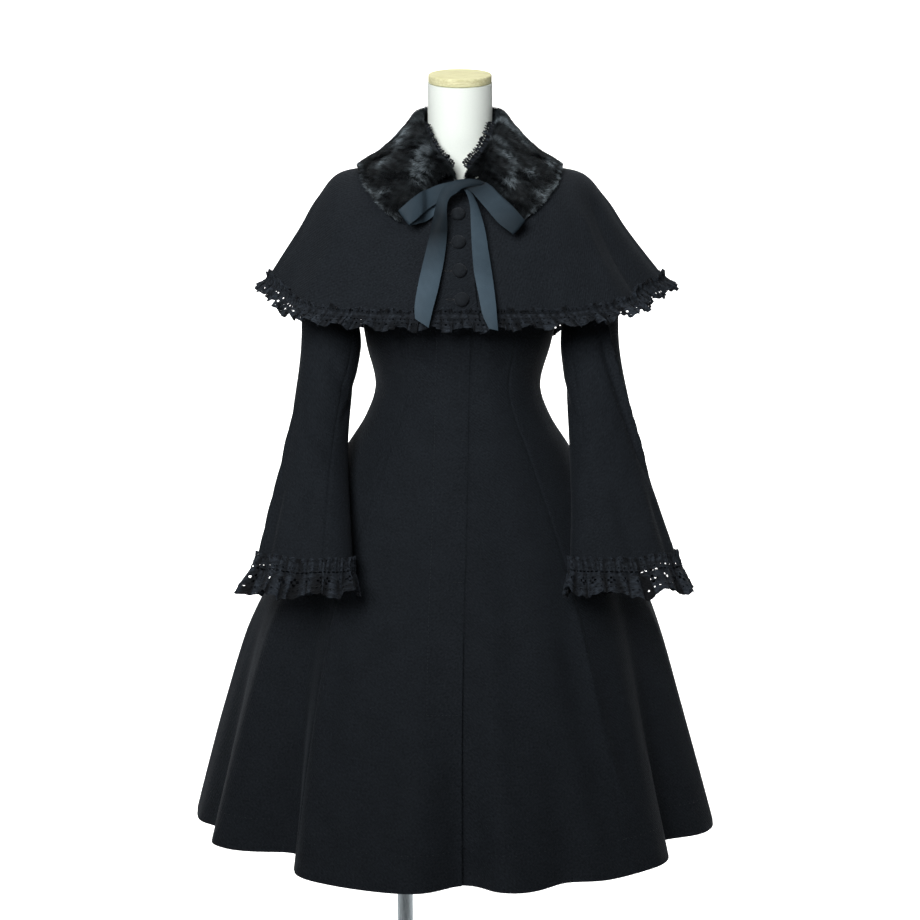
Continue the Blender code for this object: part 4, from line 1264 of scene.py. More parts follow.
    def build(self) -> None:
        """Builds the panels and their sewing."""
        front, side, back = self.seams
        panels = (
            ("coat_front_right", self.seam(-front), self.lap_edge(self.levels()), (True, False)),
            ("coat_front_left", -self.shape.lap_angle(self.underlap, self.levels()), self.seam(front),
             (False, True)),
            ("coat_side_front_right", self.seam(-side), self.seam(-front), (True, True)),
            ("coat_side_front_left", self.seam(front), self.seam(side), (True, True)),
            ("coat_side_back_right", self.seam(-back), self.seam(-side), (True, True)),
            ("coat_side_back_left", self.seam(side), self.seam(back), (True, True)),
            ("coat_back_right", self.seam(-180), self.seam(-back), (True, True)),
            ("coat_back_left", self.seam(back), self.seam(180), (True, True)),
        )
        for name, low, high, sewn in panels:
            tucked = name == "coat_front_left"
            piece, sheet = self.panel(name, low, high, sewn, tucked)
            sewing = [self.hem_stitches(name, low, high, tucked)]
            if name == "coat_front_right":
                sewing += self.fly_stitches() + self.tacks()
            sheet.declare(piece, "hung", ["form_body"], sewing)


# Lace


@dataclass(frozen=True)
class LacePattern:
    """A lace strip as a grid of small cells, some of them left out, in rows from the heading to the edge.

    Pitches, holes and petals are counted in cells.
    """

    rows: int
    net_rows: tuple[int, ...]
    slot_rows: tuple[int, ...]
    flower_row: int | None
    scallop_pitch: int
    scallop_depth: float
    cell: float = 0.0015
    cord: float = 0.0008
    slot_pitch: int = 6
    net_pitch: int = 4
    net_hole: int = 2
    flower_pitch: int = 16
    petal_half: int = 1
    petal_span: tuple[int, int] = (2, 4)
    picot_pitch: int = 4
    edge_hole_pitch: int = 3
    edge_hole_up: float = 2.5
    ease: float = 0.45
    ease_rounds: int = 2
    sharp: float = 40.0
    # How the painted shade in the hollows and the painted highlight on the crests are measured.
    crest_reach: int = 7
    crest_depth: float = 0.0050

    def kept(self, columns: int) -> Array:
        """Which cells hold cloth.

        Args:
            columns: how many cells the strip is long.

        Returns:
            True for cloth, rows by columns.
        """
        row, column = np.meshgrid(np.arange(self.rows), np.arange(columns), indexing="ij")
        keep = np.ones(row.shape, dtype=bool)
        keep[0] = column[0] % self.picot_pitch != 0
        for turn, net in enumerate(self.net_rows):
            for line in (net, net + 1):
                keep[line] &= (column[line] + turn * self.net_hole) % self.net_pitch >= self.net_hole
        for slot in self.slot_rows:
            keep[slot] &= column[slot] % self.slot_pitch == 0
        if self.flower_row is not None:
            along = np.abs(column % self.flower_pitch - self.flower_pitch // 2)
            across = np.abs(row - self.flower_row)
            for side, way in ((along, across), (across, along)):
                keep &= (side > self.petal_half) | (way < self.petal_span[0]) | (way > self.petal_span[1])
        wave = np.abs(np.sin(math.pi * (column + 0.5) / self.scallop_pitch))
        foot = self.rows - self.scallop_depth * (1 - wave)
        keep &= row + 0.5 < foot
        keep &= ~((np.abs(row + self.edge_hole_up - foot) < 0.5) & (column % self.edge_hole_pitch == 1))
        return keep

    def rounded(self, keep: Array) -> tuple[Array, Array, Array]:
        """Places of the grid's points, with the corners of holes and scallops eased.

        Args:
            keep: which cells hold cloth.

        Returns:
            The points' column and row numbers, eased, and how far the thread round holes and edges is raised.
        """
        rows, columns = keep.shape
        row, column = np.meshgrid(np.arange(rows + 1.0), np.arange(columns + 1.0), indexing="ij")
        padded = np.pad(keep, 1)
        upright = (padded[1:-1, :-1] != padded[1:-1, 1:]).astype(float)
        level = (padded[:-1, 1:-1] != padded[1:, 1:-1]).astype(float)
        count = np.zeros(row.shape)
        count[:-1] += upright
        count[1:] += upright
        count[:, :-1] += level
        count[:, 1:] += level
        for _ in range(self.ease_rounds):
            for values in (row, column):
                total = np.zeros(values.shape)
                total[:-1] += upright * values[1:]
                total[1:] += upright * values[:-1]
                total[:, :-1] += level * values[:, 1:]
                total[:, 1:] += level * values[:, :-1]
                eased = np.where(count == 2, total / np.maximum(count, 1), values)
                values += (eased - values) * self.ease
        return column, row, np.where(count > 0, self.cord, 0.0)

    def sheet(self, length: float, place: Callable[[Array, Array, Array], Array], flip: bool) -> Sheet:
        """Lays a strip of the lace.

        Args:
            length: the strip's length before it is gathered.
            place: says where points go, by the share along, the way across and how far they are raised.
            flip: whether the grid's faces have to be turned.

        Returns:
            The strip.
        """
        columns = max(8, int(round(length / self.cell)))
        keep = self.kept(columns)
        column, row, raised = self.rounded(keep)
        return Sheet(place(column / columns, row * self.cell, raised), flip, keep)

    def sew(self, node: str, sheet: Sheet, rests_on: str) -> None:
        """Makes the piece of a laid strip, with painted shade in its hollows and painted highlight on its
        crests.

        Args:
            node: the solid that the strip stands for.
            sheet: the strip.
            rests_on: the piece that it is sewn to.
        """
        # The crests become the tone: painted shade in the hollows and painted highlight on the crests.
        crests = sheet.crests(self.crest_reach, self.crest_depth)
        strip = sheet.build(f"cotton_{node}", LACE, LACE_WALL, self.sharp, crests)
        settle(strip, "lace", node)
        sheet.declare(strip, "gathered", [rests_on])


@dataclass(frozen=True)
class Ruffle:
    """The uneven waves of a gathered edge: size, pace and start of the slow waves that change them."""

    drifts: tuple[Triple, ...] = ((0.9, 0.37, 0.8), (0.5, 0.73, 2.1))
    swell: Triple = (0.28, 0.29, 1.0)

    def uneven(self, turn: Array) -> Array:
        """An angle that grows by fits and starts."""
        return turn + sum(size * np.sin(turn * pace + start) for size, pace, start in self.drifts)

    def wave(self, turn: Array) -> Array:
        """A wave from 0 to 1, by an angle that grows along the edge."""
        size, pace, start = self.swell
        return (0.5 - 0.5 * np.cos(self.uneven(turn))) * (1 - size + size * np.sin(turn * pace + start))


RUFFLE = Ruffle()


def hung(edge: Array, down: Array, out: Array, hang: Array, lift: Array, aside: Array) -> Array:
    """Points of a strip that are moved from its edge: down by hang, out by lift, and aside along the edge."""
    side = np.cross(down, out)
    return edge + down * hang[..., None] + out * lift[..., None] + side * aside[..., None]


CUFF_LACE = LacePattern(
    rows=41, net_rows=(2, 10, 32), slot_rows=(14, 15), flower_row=24, scallop_pitch=9, scallop_depth=2.4)
CAPE_LACE = LacePattern(
    rows=20, net_rows=(2, 9, 13), slot_rows=(), flower_row=None, scallop_pitch=8, scallop_depth=1.8,
    crest_reach=6)
COLLAR_LACE = LacePattern(
    rows=11, net_rows=(6,), slot_rows=(), flower_row=None, scallop_pitch=6, scallop_depth=3.0, cell=0.0012,
    net_pitch=3, net_hole=1, crest_reach=4, crest_depth=0.0030)


# Sleeves


@dataclass(frozen=True)
class SleeveShape:
    """The outside of one sleeve. Angle 0 is its outer side, 90 its front and 180 its inner side."""

    side: Side
    rings: SmoothTable
    creases: CreaseField
    first_angle: float = -90.0

    def smooth_point(self, angle: Array, along: Array) -> Array:
        """Points on the outside without its creases.

        Args:
            angle: angles of the points.
            along: ways along of the points.

        Returns:
            The points.
        """
        angle, along = np.broadcast_arrays(np.asarray(angle, float), np.asarray(along, float))
        turn, tilt = np.radians(self.rings("turn", along)), np.radians(self.rings("tilt", along))
        wide = vectors(np.cos(tilt) * np.cos(turn), np.cos(tilt) * np.sin(turn), np.sin(tilt))
        deep = vectors(np.sin(turn), -np.cos(turn), 0.0)
        point = vectors(self.rings("out", along), -self.rings("forward", along), self.rings("z", along))
        around = np.radians(angle)
        point = point + wide * (self.rings("half_width", along) * np.cos(around))[..., None]
        point = point + deep * (self.rings("half_depth", along) * np.sin(around))[..., None]
        point[..., 0] *= self.side.value
        return point

    def outward(self, angle: Array, along: Array) -> Array:
        """Outward normals of the smooth outside."""
        return normals(self.smooth_point, angle, along, self.side.value)

    def point(self, angle: Array, along: Array, sunk: Array | float = 0.0) -> Array:
        """Points of the dressed outside, drawn in where sunk says so."""
        out = self.creases.relief(within_turn(angle, self.first_angle), along) - sunk
        return self.smooth_point(angle, along) + self.outward(angle, along) * out[..., None]


SLEEVE_COLUMNS = "along z out forward half_width half_depth turn tilt"
SLEEVE_HEAD = (
    (0.0, 1.204, 0.1665, 0.0, 0.0755, 0.052, 0, 79),
    (0.1, 1.172, 0.1845, 0.003, 0.062, 0.053, 0, 56),
    (0.22, 1.118, 0.188, 0.011, 0.044, 0.05, 0, 20),
)
RIGHT_SLEEVE = SleeveShape(
    side=Side.RIGHT,
    rings=SmoothTable(SLEEVE_COLUMNS, SLEEVE_HEAD + (
        (0.36, 1.055, 0.1845, 0.03, 0.043, 0.049, 2, 4),
        (0.52, 0.975, 0.1945, 0.064, 0.0405, 0.046, 8, 0),
        (0.67, 0.9, 0.2005, 0.104, 0.0435, 0.044, 18, 0),
        (0.83, 0.83, 0.206, 0.147, 0.058, 0.044, 29, 0),
        (1.0, 0.764, 0.21, 0.192, 0.074, 0.047, 37, 0),
        (1.15, 0.712, 0.215, 0.23, 0.082, 0.052, 39, 0),
    )),
    creases=CreaseField(per_degree=0.0009, per_along=0.50, creases=(
        Crease(27.0, 0.52, 45.0, 1.0, 0.0042, 0.006),
        Crease(14.0, 0.64, 30.0, 1.0, 0.0075, -0.0036),
        Crease(74.0, 0.72, 82.0, 1.0, 0.01, 0.0036),
        Crease(58.0, 0.74, 62.0, 1.0, 0.0085, -0.0034),
        Crease(118.0, 0.7, 112.0, 1.0, 0.01, -0.0034),
        Crease(30.0, 0.52, 100.0, 0.6, 0.0075, -0.0026),
        Crease(50.0, 0.58, 120.0, 0.66, 0.007, 0.0022),
        Crease(95.0, 0.4, 150.0, 0.49, 0.008, -0.003),
        Crease(200.0, 0.45, 160.0, 0.56, 0.009, -0.003),
        Crease(230.0, 0.7, 236.0, 1.0, 0.011, 0.003),
        Crease(-50.0, 0.64, -44.0, 1.0, 0.011, -0.0034),
    )),
)
LEFT_SLEEVE = SleeveShape(
    side=Side.LEFT,
    rings=SmoothTable(SLEEVE_COLUMNS, SLEEVE_HEAD + (
        (0.36, 1.055, 0.186, 0.028, 0.042, 0.049, 2, 4),
        (0.52, 0.975, 0.196, 0.06, 0.0445, 0.046, 8, 0),
        (0.67, 0.9, 0.205, 0.098, 0.052, 0.044, 16, 0),
        (0.83, 0.83, 0.2155, 0.14, 0.066, 0.044, 25, 0),
        (1.0, 0.764, 0.224, 0.184, 0.083, 0.047, 31, 0),
        (1.15, 0.712, 0.231, 0.222, 0.093, 0.052, 33, 0),
    )),
    creases=CreaseField(per_degree=0.0009, per_along=0.50, creases=(
        Crease(68.0, 0.22, 20.0, 0.76, 0.0042, 0.0062, fades=True),
        Crease(80.0, 0.24, 33.0, 0.76, 0.0075, -0.0044, fades=True),
        Crease(64.0, 0.7, 72.0, 1.0, 0.01, 0.0036),
        Crease(46.0, 0.76, 50.0, 1.0, 0.009, -0.0036),
        Crease(104.0, 0.72, 102.0, 1.0, 0.01, -0.0032),
        Crease(84.0, 0.48, 150.0, 0.56, 0.008, -0.003),
        Crease(70.0, 0.56, 140.0, 0.64, 0.0075, 0.0024),
        Crease(92.0, 0.38, 150.0, 0.44, 0.008, -0.0026),
        Crease(200.0, 0.46, 160.0, 0.56, 0.009, -0.003),
        Crease(228.0, 0.7, 232.0, 1.0, 0.011, 0.003),
        Crease(-46.0, 0.64, -42.0, 1.0, 0.011, -0.0034),
    )),
)


@dataclass
class Sleeve:
    """A two-piece sleeve with a gathered lace strip on the end of each piece."""

    shape: SleeveShape
    front_seam: float = 140.0
    back_seam: float = 290.0
    top_columns: int = 88
    under_columns: int = 28
    rows: int = 84
    seam_dip: SeamDip = SeamDip(0.0009, 0.0024)
    lace_heading: float = 0.012
    lace_drop: float = 0.0495
    lace_fullness: float = 1.5
    lace_lead: float = 0.1
    heading_wave: float = 0.0038
    heading_pace: float = 3.1
    small_wave: float = 0.0034
    small_pace: float = 2.7
    small_base: float = 0.3
    edge_wave: float = 0.0095
    pucker: float = 0.0012
    pucker_reach: float = 0.012
    pucker_paces: Pair = (5.3, 1.7)
    sag: float = 0.12
    sag_pace: float = 0.61
    sag_start: float = 0.5
    waves: Pair = (6.4, 4.3)
    flare: float = 0.002
    turn_over: float = 0.0030
    rim_points: int = 200

    def piece(self, kind: str, low: float, high: float, columns: int) -> None:
        """Builds one piece of the sleeve.

        Args:
            kind: top or under.
            low: the angle of the seam that it starts from.
            high: the angle of the seam that it ends at.
            columns: how many columns of cloth it has.
        """
        along, across = np.meshgrid(np.linspace(0, 1, self.rows + 1), eased_shares(columns), indexing="ij")
        angle = mix(low, high, across)
        sunk = self.seam_dip.sunk(self.shape.smooth_point(angle, along), True, True)
        sheet = Sheet(self.shape.point(angle, along, sunk), flip=self.shape.side is Side.RIGHT)
        name = f"sleeve_{kind}_{self.shape.side.word}"
        wool = sheet.build(f"wool_{name}", WOOL, WOOL_WALL)
        settle(wool, "wool", name)
        sheet.declare(wool, "hung", [f"wool_coat_side_front_{self.shape.side.word}"])

    def lace(self, kind: str, low: float, high: float, waves: float, phase: float) -> None:
        """Builds the lace on one piece of the sleeve.

        Args:
            kind: top or under.
            low: the angle of the seam that it starts from.
            high: the angle of the seam that it ends at.
            waves: how many large waves it makes.
            phase: how many waves lie before it.
        """
        side = self.shape.side

        def place(share: Array, across: Array, raised: Array) -> Array:
            """Places points of the strip: frilled above its gathers and in loose waves below them.

            Args:
                share: the share along the strip.
                across: the way across it, from its heading.
                raised: how far its thread is raised.

            Returns:
                The points.
            """
            end = np.ones(share.shape)
            angle = mix(low, high, share)
            edge = self.shape.point(angle, end)
            down = unit(edge - self.shape.point(angle, end - self.lace_lead))
            out = self.shape.outward(angle, end)
            below = across - self.lace_heading
            turn = 2 * math.pi * (share * waves + phase)
            fall = smooth_step(below / self.lace_drop)
            frill = smooth_step(-below / self.lace_heading)
            near = np.exp(-((below / self.pucker_reach) ** 2))
            close, slow = (turn * pace for pace in self.pucker_paces)
            wave = self.pucker * (1 + np.sin(close + np.sin(slow))) * near
            wave = wave + self.edge_wave * fall * RUFFLE.wave(turn)
            wave = wave + self.heading_wave * frill * RUFFLE.wave(turn * self.heading_pace)
            wave = wave + self.small_wave * (self.small_base + fall) * RUFFLE.wave(turn * self.small_pace + 1)
            wide = np.maximum(out[..., 0] * side.value, 0) * np.maximum(below, 0) / self.lace_drop
            lift = LAYER_GAP + LACE_WALL + wave + raised + self.flare * wide
            hang = below * (1 + self.sag * np.sin(turn * self.sag_pace + self.sag_start) * fall)
            aside = self.turn_over * fall * np.sin(2 * RUFFLE.uneven(turn))
            return hung(edge, down, out, hang, lift, aside)

        rim = self.shape.point(np.linspace(low, high, self.rim_points), np.ones(self.rim_points))
        length = way_along(rim)[-1] * self.lace_fullness
        sheet = CUFF_LACE.sheet(length, place, flip=side is Side.RIGHT)
        CUFF_LACE.sew(f"cuff_lace_{kind}_{side.word}", sheet, f"wool_sleeve_{kind}_{side.word}")

    def build(self) -> None:
        """Builds both pieces and their lace."""
        top, under = (self.back_seam - 360, self.front_seam), (self.front_seam, self.back_seam)
        self.piece("top", *top, self.top_columns)
        self.piece("under", *under, self.under_columns)
        self.lace("top", *top, self.waves[0], 0.0)
        self.lace("under", *under, self.waves[1], self.waves[0])


# Cape


@dataclass(frozen=True)
class CapeShape:
    """The outside of the cape, from its neck, at 0, to its hem, at 1."""

    rings: SmoothTable = SmoothTable("along front front_z side side_z back back_z", (
        (0.0, 0.079, 1.284, 0.071, 1.345, 0.073, 1.356),
        (0.25, 0.112, 1.244, 0.128, 1.314, 0.1, 1.32),
        (0.5, 0.142, 1.192, 0.184, 1.295, 0.126, 1.245),
        (0.75, 0.159, 1.143, 0.232, 1.222, 0.152, 1.155),
        (1.0, 0.168, 1.097, 0.283, 1.151, 0.174, 1.072),
    ))
    folds: tuple[Fold, ...] = (
        Fold(-152, 0.012, 12.0, 0.35),
        Fold(-112, 0.018, 12.0, 0.4),
        Fold(-64, 0.016, 12.0, 0.45),
        Fold(62, 0.024, 9.0, 0.4),
        Fold(116, 0.018, 12.0, 0.4),
        Fold(158, 0.012, 12.0, 0.35),
    )
    creases: CreaseField = CreaseField(per_degree=0.0042, per_along=0.27, creases=(
        Crease(57.0, 0.48, 44.0, 1.0, 0.009, 0.0045),
        Crease(68.0, 0.52, 58.0, 1.0, 0.012, -0.004),
        Crease(-56.0, 0.52, -47.0, 1.0, 0.012, 0.003),
        Crease(-30.0, 0.56, -25.0, 1.0, 0.016, -0.0025),
        Crease(27.0, 0.6, 24.0, 1.0, 0.015, -0.0025),
        Crease(-84.0, 0.56, -82.0, 1.0, 0.013, 0.0035),
        Crease(86.0, 0.56, 84.0, 1.0, 0.013, 0.0035),
        Crease(134.0, 0.5, 138.0, 1.0, 0.014, 0.004),
        Crease(226.0, 0.5, 222.0, 1.0, 0.014, 0.004),
        Crease(180.0, 0.45, 180.0, 1.0, 0.02, -0.004),
    ))
    squareness: float = 0.085
    shift: float = 0.008
    shift_growth: int = 3
    level_front_right: float = 3.0
    level_front_left: float = 1.8
    fold_growth: float = 1.3
    first_angle: float = -100.0
    search_steps: int = 2000

    def smooth_point(self, angle: Array, along: Array) -> Array:
        """Points on the outside without its creases.

        Args:
            angle: angles of the points.
            along: ways along of the points.

        Returns:
            The points.
        """
        angle, along = np.broadcast_arrays(np.asarray(angle, float), np.asarray(along, float))
        turn = np.radians(angle)
        across, ahead = np.sin(turn), np.cos(turn)
        pull = np.zeros(angle.shape)
        for fold in self.folds:
            drop = np.clip((along - fold.top) / (1 - fold.top), 0, None)
            pull += fold.depth * fold.reach(angle) * drop**self.fold_growth
        side = self.rings("side", along)
        swell = 1 + self.squareness * along * np.sin(2 * turn) ** 2 - pull / side
        end = np.where(ahead > 0, self.rings("front", along), self.rings("back", along))
        end_z = np.where(ahead > 0, self.rings("front_z", along), self.rings("back_z", along))
        level = np.where(across < 0, self.level_front_right, self.level_front_left) * along**2
        steep = 2 + np.where(ahead > 0, level, 0.0)
        height = mix(end_z, self.rings("side_z", along), np.abs(across) ** steep)
        x = side * across * swell + self.shift * along**self.shift_growth
        return vectors(x, -end * ahead * swell, height)

    def outward(self, angle: Array, along: Array) -> Array:
        """Outward normals of the smooth outside."""
        return normals(self.smooth_point, angle, along, -1.0)

    def point(self, angle: Array, along: Array, out: Array | float = 0.0) -> Array:
        """Points of the dressed outside, moved out where asked."""
        lift = self.creases.relief(within_turn(angle, self.first_angle), along) + out
        return self.smooth_point(angle, along) + self.outward(angle, along) * lift[..., None]

    def lap_angle(self, reach: float, along: Array) -> Array:
        """The angle of a front edge that lies a given distance past the middle."""
        return np.degrees(np.arcsin(np.minimum(1.0, reach / self.rings("side", along))))

    def front_at(self, x: float, z: float) -> tuple[Array, Array]:
        """The point and outward direction of the front at a place across and a height."""
        along = np.linspace(0, 1, self.search_steps)
        angle = self.lap_angle(abs(x), along) * math.copysign(1, x)
        row = int(np.argmin(np.abs(self.smooth_point(angle, along)[:, 2] - z)))
        return self.point(angle, along)[row], self.outward(angle, along)[row]


@dataclass
class Cape:
    """Two lapped fronts and a back, each with its gathered lace."""

    shape: CapeShape = field(default_factory=CapeShape)
    side_seam: float = 94.0
    lap: float = 0.017
    underlap: float = 0.022
    lap_ease: float = 0.035
    lace_room: float = 0.0029
    rows: int = 64
    front_columns: int = 64
    back_columns: int = 100
    front_waves: float = 21.0
    back_waves: float = 35.0
    heading: float = 0.009
    lace_width: float = 0.030
    lace_lead: float = 0.12
    fullness: float = 1.5
    heading_wave: float = 0.0028
    heading_pace: float = 1.7
    edge_wave: float = 0.0085
    small_wave: float = 0.0038
    small_pace: float = 2.6
    small_base: float = 0.4
    sag: float = 0.20
    sag_pace: float = 0.57
    sag_start: float = 2.0
    turn_over: float = 0.0026
    under_ease: float = 0.016
    rim_points: int = 300
    seam_dip: SeamDip = SeamDip(0.0009, 0.0026)

    def edges(self, kind: str, along: Array) -> tuple[Array | float, Array | float]:
        """The two edges of a panel.

        Args:
            kind: the panel.
            along: the ways along that are asked for.

        Returns:
            The lower and the higher edge, each as an angle for each way along, or one angle for a seam.
        """
        if kind == "front_right":
            return -self.side_seam, self.shape.lap_angle(self.lap, along)
        if kind == "front_left":
            return -self.shape.lap_angle(self.underlap, along), self.side_seam
        return self.side_seam, 360 - self.side_seam

    def tuck(self, kind: str, point: Array) -> Array:
        """How far the left front is drawn in where it passes under the right one."""
        if kind != "front_left":
            return np.zeros(point.shape[:-1])
        room = WOOL_WALL + LAYER_GAP + self.lace_room
        return room * (1 - smooth_step((point[..., 0] - self.lap) / self.lap_ease))

    def panel(self, kind: str, columns: int) -> None:
        """Builds one panel.

        Args:
            kind: the panel.
            columns: how many columns of cloth it has.
        """
        along, across = np.meshgrid(np.linspace(0, 1, self.rows + 1), eased_shares(columns), indexing="ij")
        low, high = self.edges(kind, along)
        angle = mix(low, high, across)
        point = self.shape.smooth_point(angle, along)
        dip = self.seam_dip.sunk(point, kind != "front_left", kind != "front_right")
        sunk = self.tuck(kind, point) + dip
        sheet = Sheet(self.shape.point(angle, along, -sunk), flip=True)
        wool = sheet.build(f"wool_cape_{kind}", WOOL, WOOL_WALL)
        settle(wool, "wool", f"cape_{kind}")
        sheet.declare(wool, "draped", ["form_body"])

    def lace(self, kind: str, waves: float, phase: float) -> None:
        """Builds the lace of one panel.

        Args:
            kind: the panel.
            waves: how many large waves the strip makes.
            phase: how many waves lie before it.
        """

        def place(share: Array, across: Array, raised: Array) -> Array:
            """Places points of the strip: frilled above its gathers and in close waves below them.

            Args:
                share: the share along the strip.
                across: the way across it, from its heading.
                raised: how far its thread is raised.

            Returns:
                The points.
            """
            hem = np.ones(share.shape)
            low, high = self.edges(kind, hem)
            angle = mix(low, high, share)
            smooth = self.shape.smooth_point(angle, hem)
            out = self.shape.outward(angle, hem)
            edge = self.shape.point(angle, hem, -self.tuck(kind, smooth))
            down = unit(smooth - self.shape.smooth_point(angle, hem - self.lace_lead))
            below = across - self.heading
            turn = 2 * math.pi * (share * waves + phase)
            fall = smooth_step(below / (self.lace_width - self.heading))
            frill = smooth_step(-below / self.heading)
            free = np.maximum(fall, frill)
            wave = self.edge_wave * fall * RUFFLE.wave(turn)
            wave = wave + self.heading_wave * frill * RUFFLE.wave(turn * self.heading_pace + 1)
            small = self.small_wave * (self.small_base + fall + frill)
            wave = wave + small * RUFFLE.wave(turn * self.small_pace) + raised
            if kind == "front_left":
                wave = wave * smooth_step((smooth[..., 0] - self.lap) / self.under_ease)
            hang = below * (1 + self.sag * np.sin(turn * self.sag_pace + self.sag_start) * free)
            aside = self.turn_over * free * np.sin(2 * RUFFLE.uneven(turn))
            return hung(edge, down, out, hang, LAYER_GAP + LACE_WALL + wave, aside)

        hem, shares = np.ones(self.rim_points), np.linspace(0, 1, self.rim_points)
        rim = self.shape.point(mix(*self.edges(kind, hem), shares), hem)
        length = way_along(rim)[-1] * self.fullness
        sheet = CAPE_LACE.sheet(length, place, flip=True)
        CAPE_LACE.sew(f"cape_lace_{kind}", sheet, f"wool_cape_{kind}")

    def build(self) -> None:
        """Builds the panels and their lace."""
        phase = 0.0
        for kind, columns, waves in (("front_right", self.front_columns, self.front_waves),
                                     ("front_left", self.front_columns, self.front_waves),
                                     ("back", self.back_columns, self.back_waves)):
            self.panel(kind, columns)
            self.lace(kind, waves, phase)
            phase += waves


@dataclass
class CoveredButtons:
    """Buttons covered in the coat's wool, down the cape's front, with a worked hole beside each."""

    cape: CapeShape = field(default_factory=CapeShape)
    heights: tuple[float, ...] = (1.236, 1.197, 1.158, 1.119)
    x: float = -0.003
    radius: float = 0.0100
    dome: float = 0.0065
    foot: float = 0.0015
    bed: float = 0.0008
    flat: float = 0.6
    groove: float = 0.12
    groove_at: float = -0.5
    groove_width: float = 0.25
    hole_length: float = 0.010
    hole_width: float = 0.0022
    hole_height: float = 0.0009
    hole_apart: float = 0.0055
    hole_lift: float = 0.0003

    def turned(self, seat: Array, out: Array) -> Matrix:
        """The matrix that stands a piece on a seat, with its up along the outward direction."""
        turn = Vector(out).to_track_quat("Z", "Y").to_matrix().to_4x4()
        return Matrix.Translation(Vector(seat)) @ turn

    def button(self, number: int, height: float) -> None:
        """Builds one button: a ball pressed to a dome over a flat foot, with a groove between.

        Args:
            number: its number, from the top.
            height: its height.
        """
        seat, out = self.cape.front_at(self.x, height)
        piece, points = new_primitive(f"covered_button_{number}", bpy.ops.mesh.primitive_uv_sphere_add,
                                      segments=40, ring_count=24, radius=1.0)
        up = points[:, 2]
        groove = self.groove * np.exp(-(((up - self.groove_at) / self.groove_width) ** 2))
        reach = np.where(up < 0, 1 - groove, 1.0) * self.radius
        under = np.clip(up, -self.flat, 0) / self.flat
        tall = np.maximum(up, 0) * self.dome + under * (self.foot + self.bed)
        move_points(piece, vectors(points[:, 0] * reach, points[:, 1] * reach, tall))
        piece.data.transform(self.turned(seat + out * (self.foot + LAYER_GAP), out))
        dress(piece, BUTTON_WOOL, sharp=60)
        settle(piece, "wool", f"button_{number}")

    def hole(self, number: int, height: float) -> None:
        """Builds one buttonhole: a flat ring of thread with a slit.

        Args:
            number: its number, from the top.
            height: its height.
        """
        seat, out = self.cape.front_at(self.x - self.radius - self.hole_apart, height)
        piece, _ = new_primitive(f"buttonhole_{number}", bpy.ops.mesh.primitive_torus_add,
                                 major_segments=40, minor_segments=8, major_radius=1.0, minor_radius=0.30)
        size = (self.hole_length / 2, self.hole_width / 2, self.hole_height)
        piece.data.transform(Matrix.Diagonal((*size, 1.0)))
        piece.data.transform(self.turned(seat + out * self.hole_lift, out))
        dress(piece, THREAD, sharp=60)
        settle(piece, "wool")

    def build(self) -> None:
        """Builds all buttons and holes."""
        for number, height in enumerate(self.heights, start=1):
            self.button(number, height)
            self.hole(number, height)


# Collar


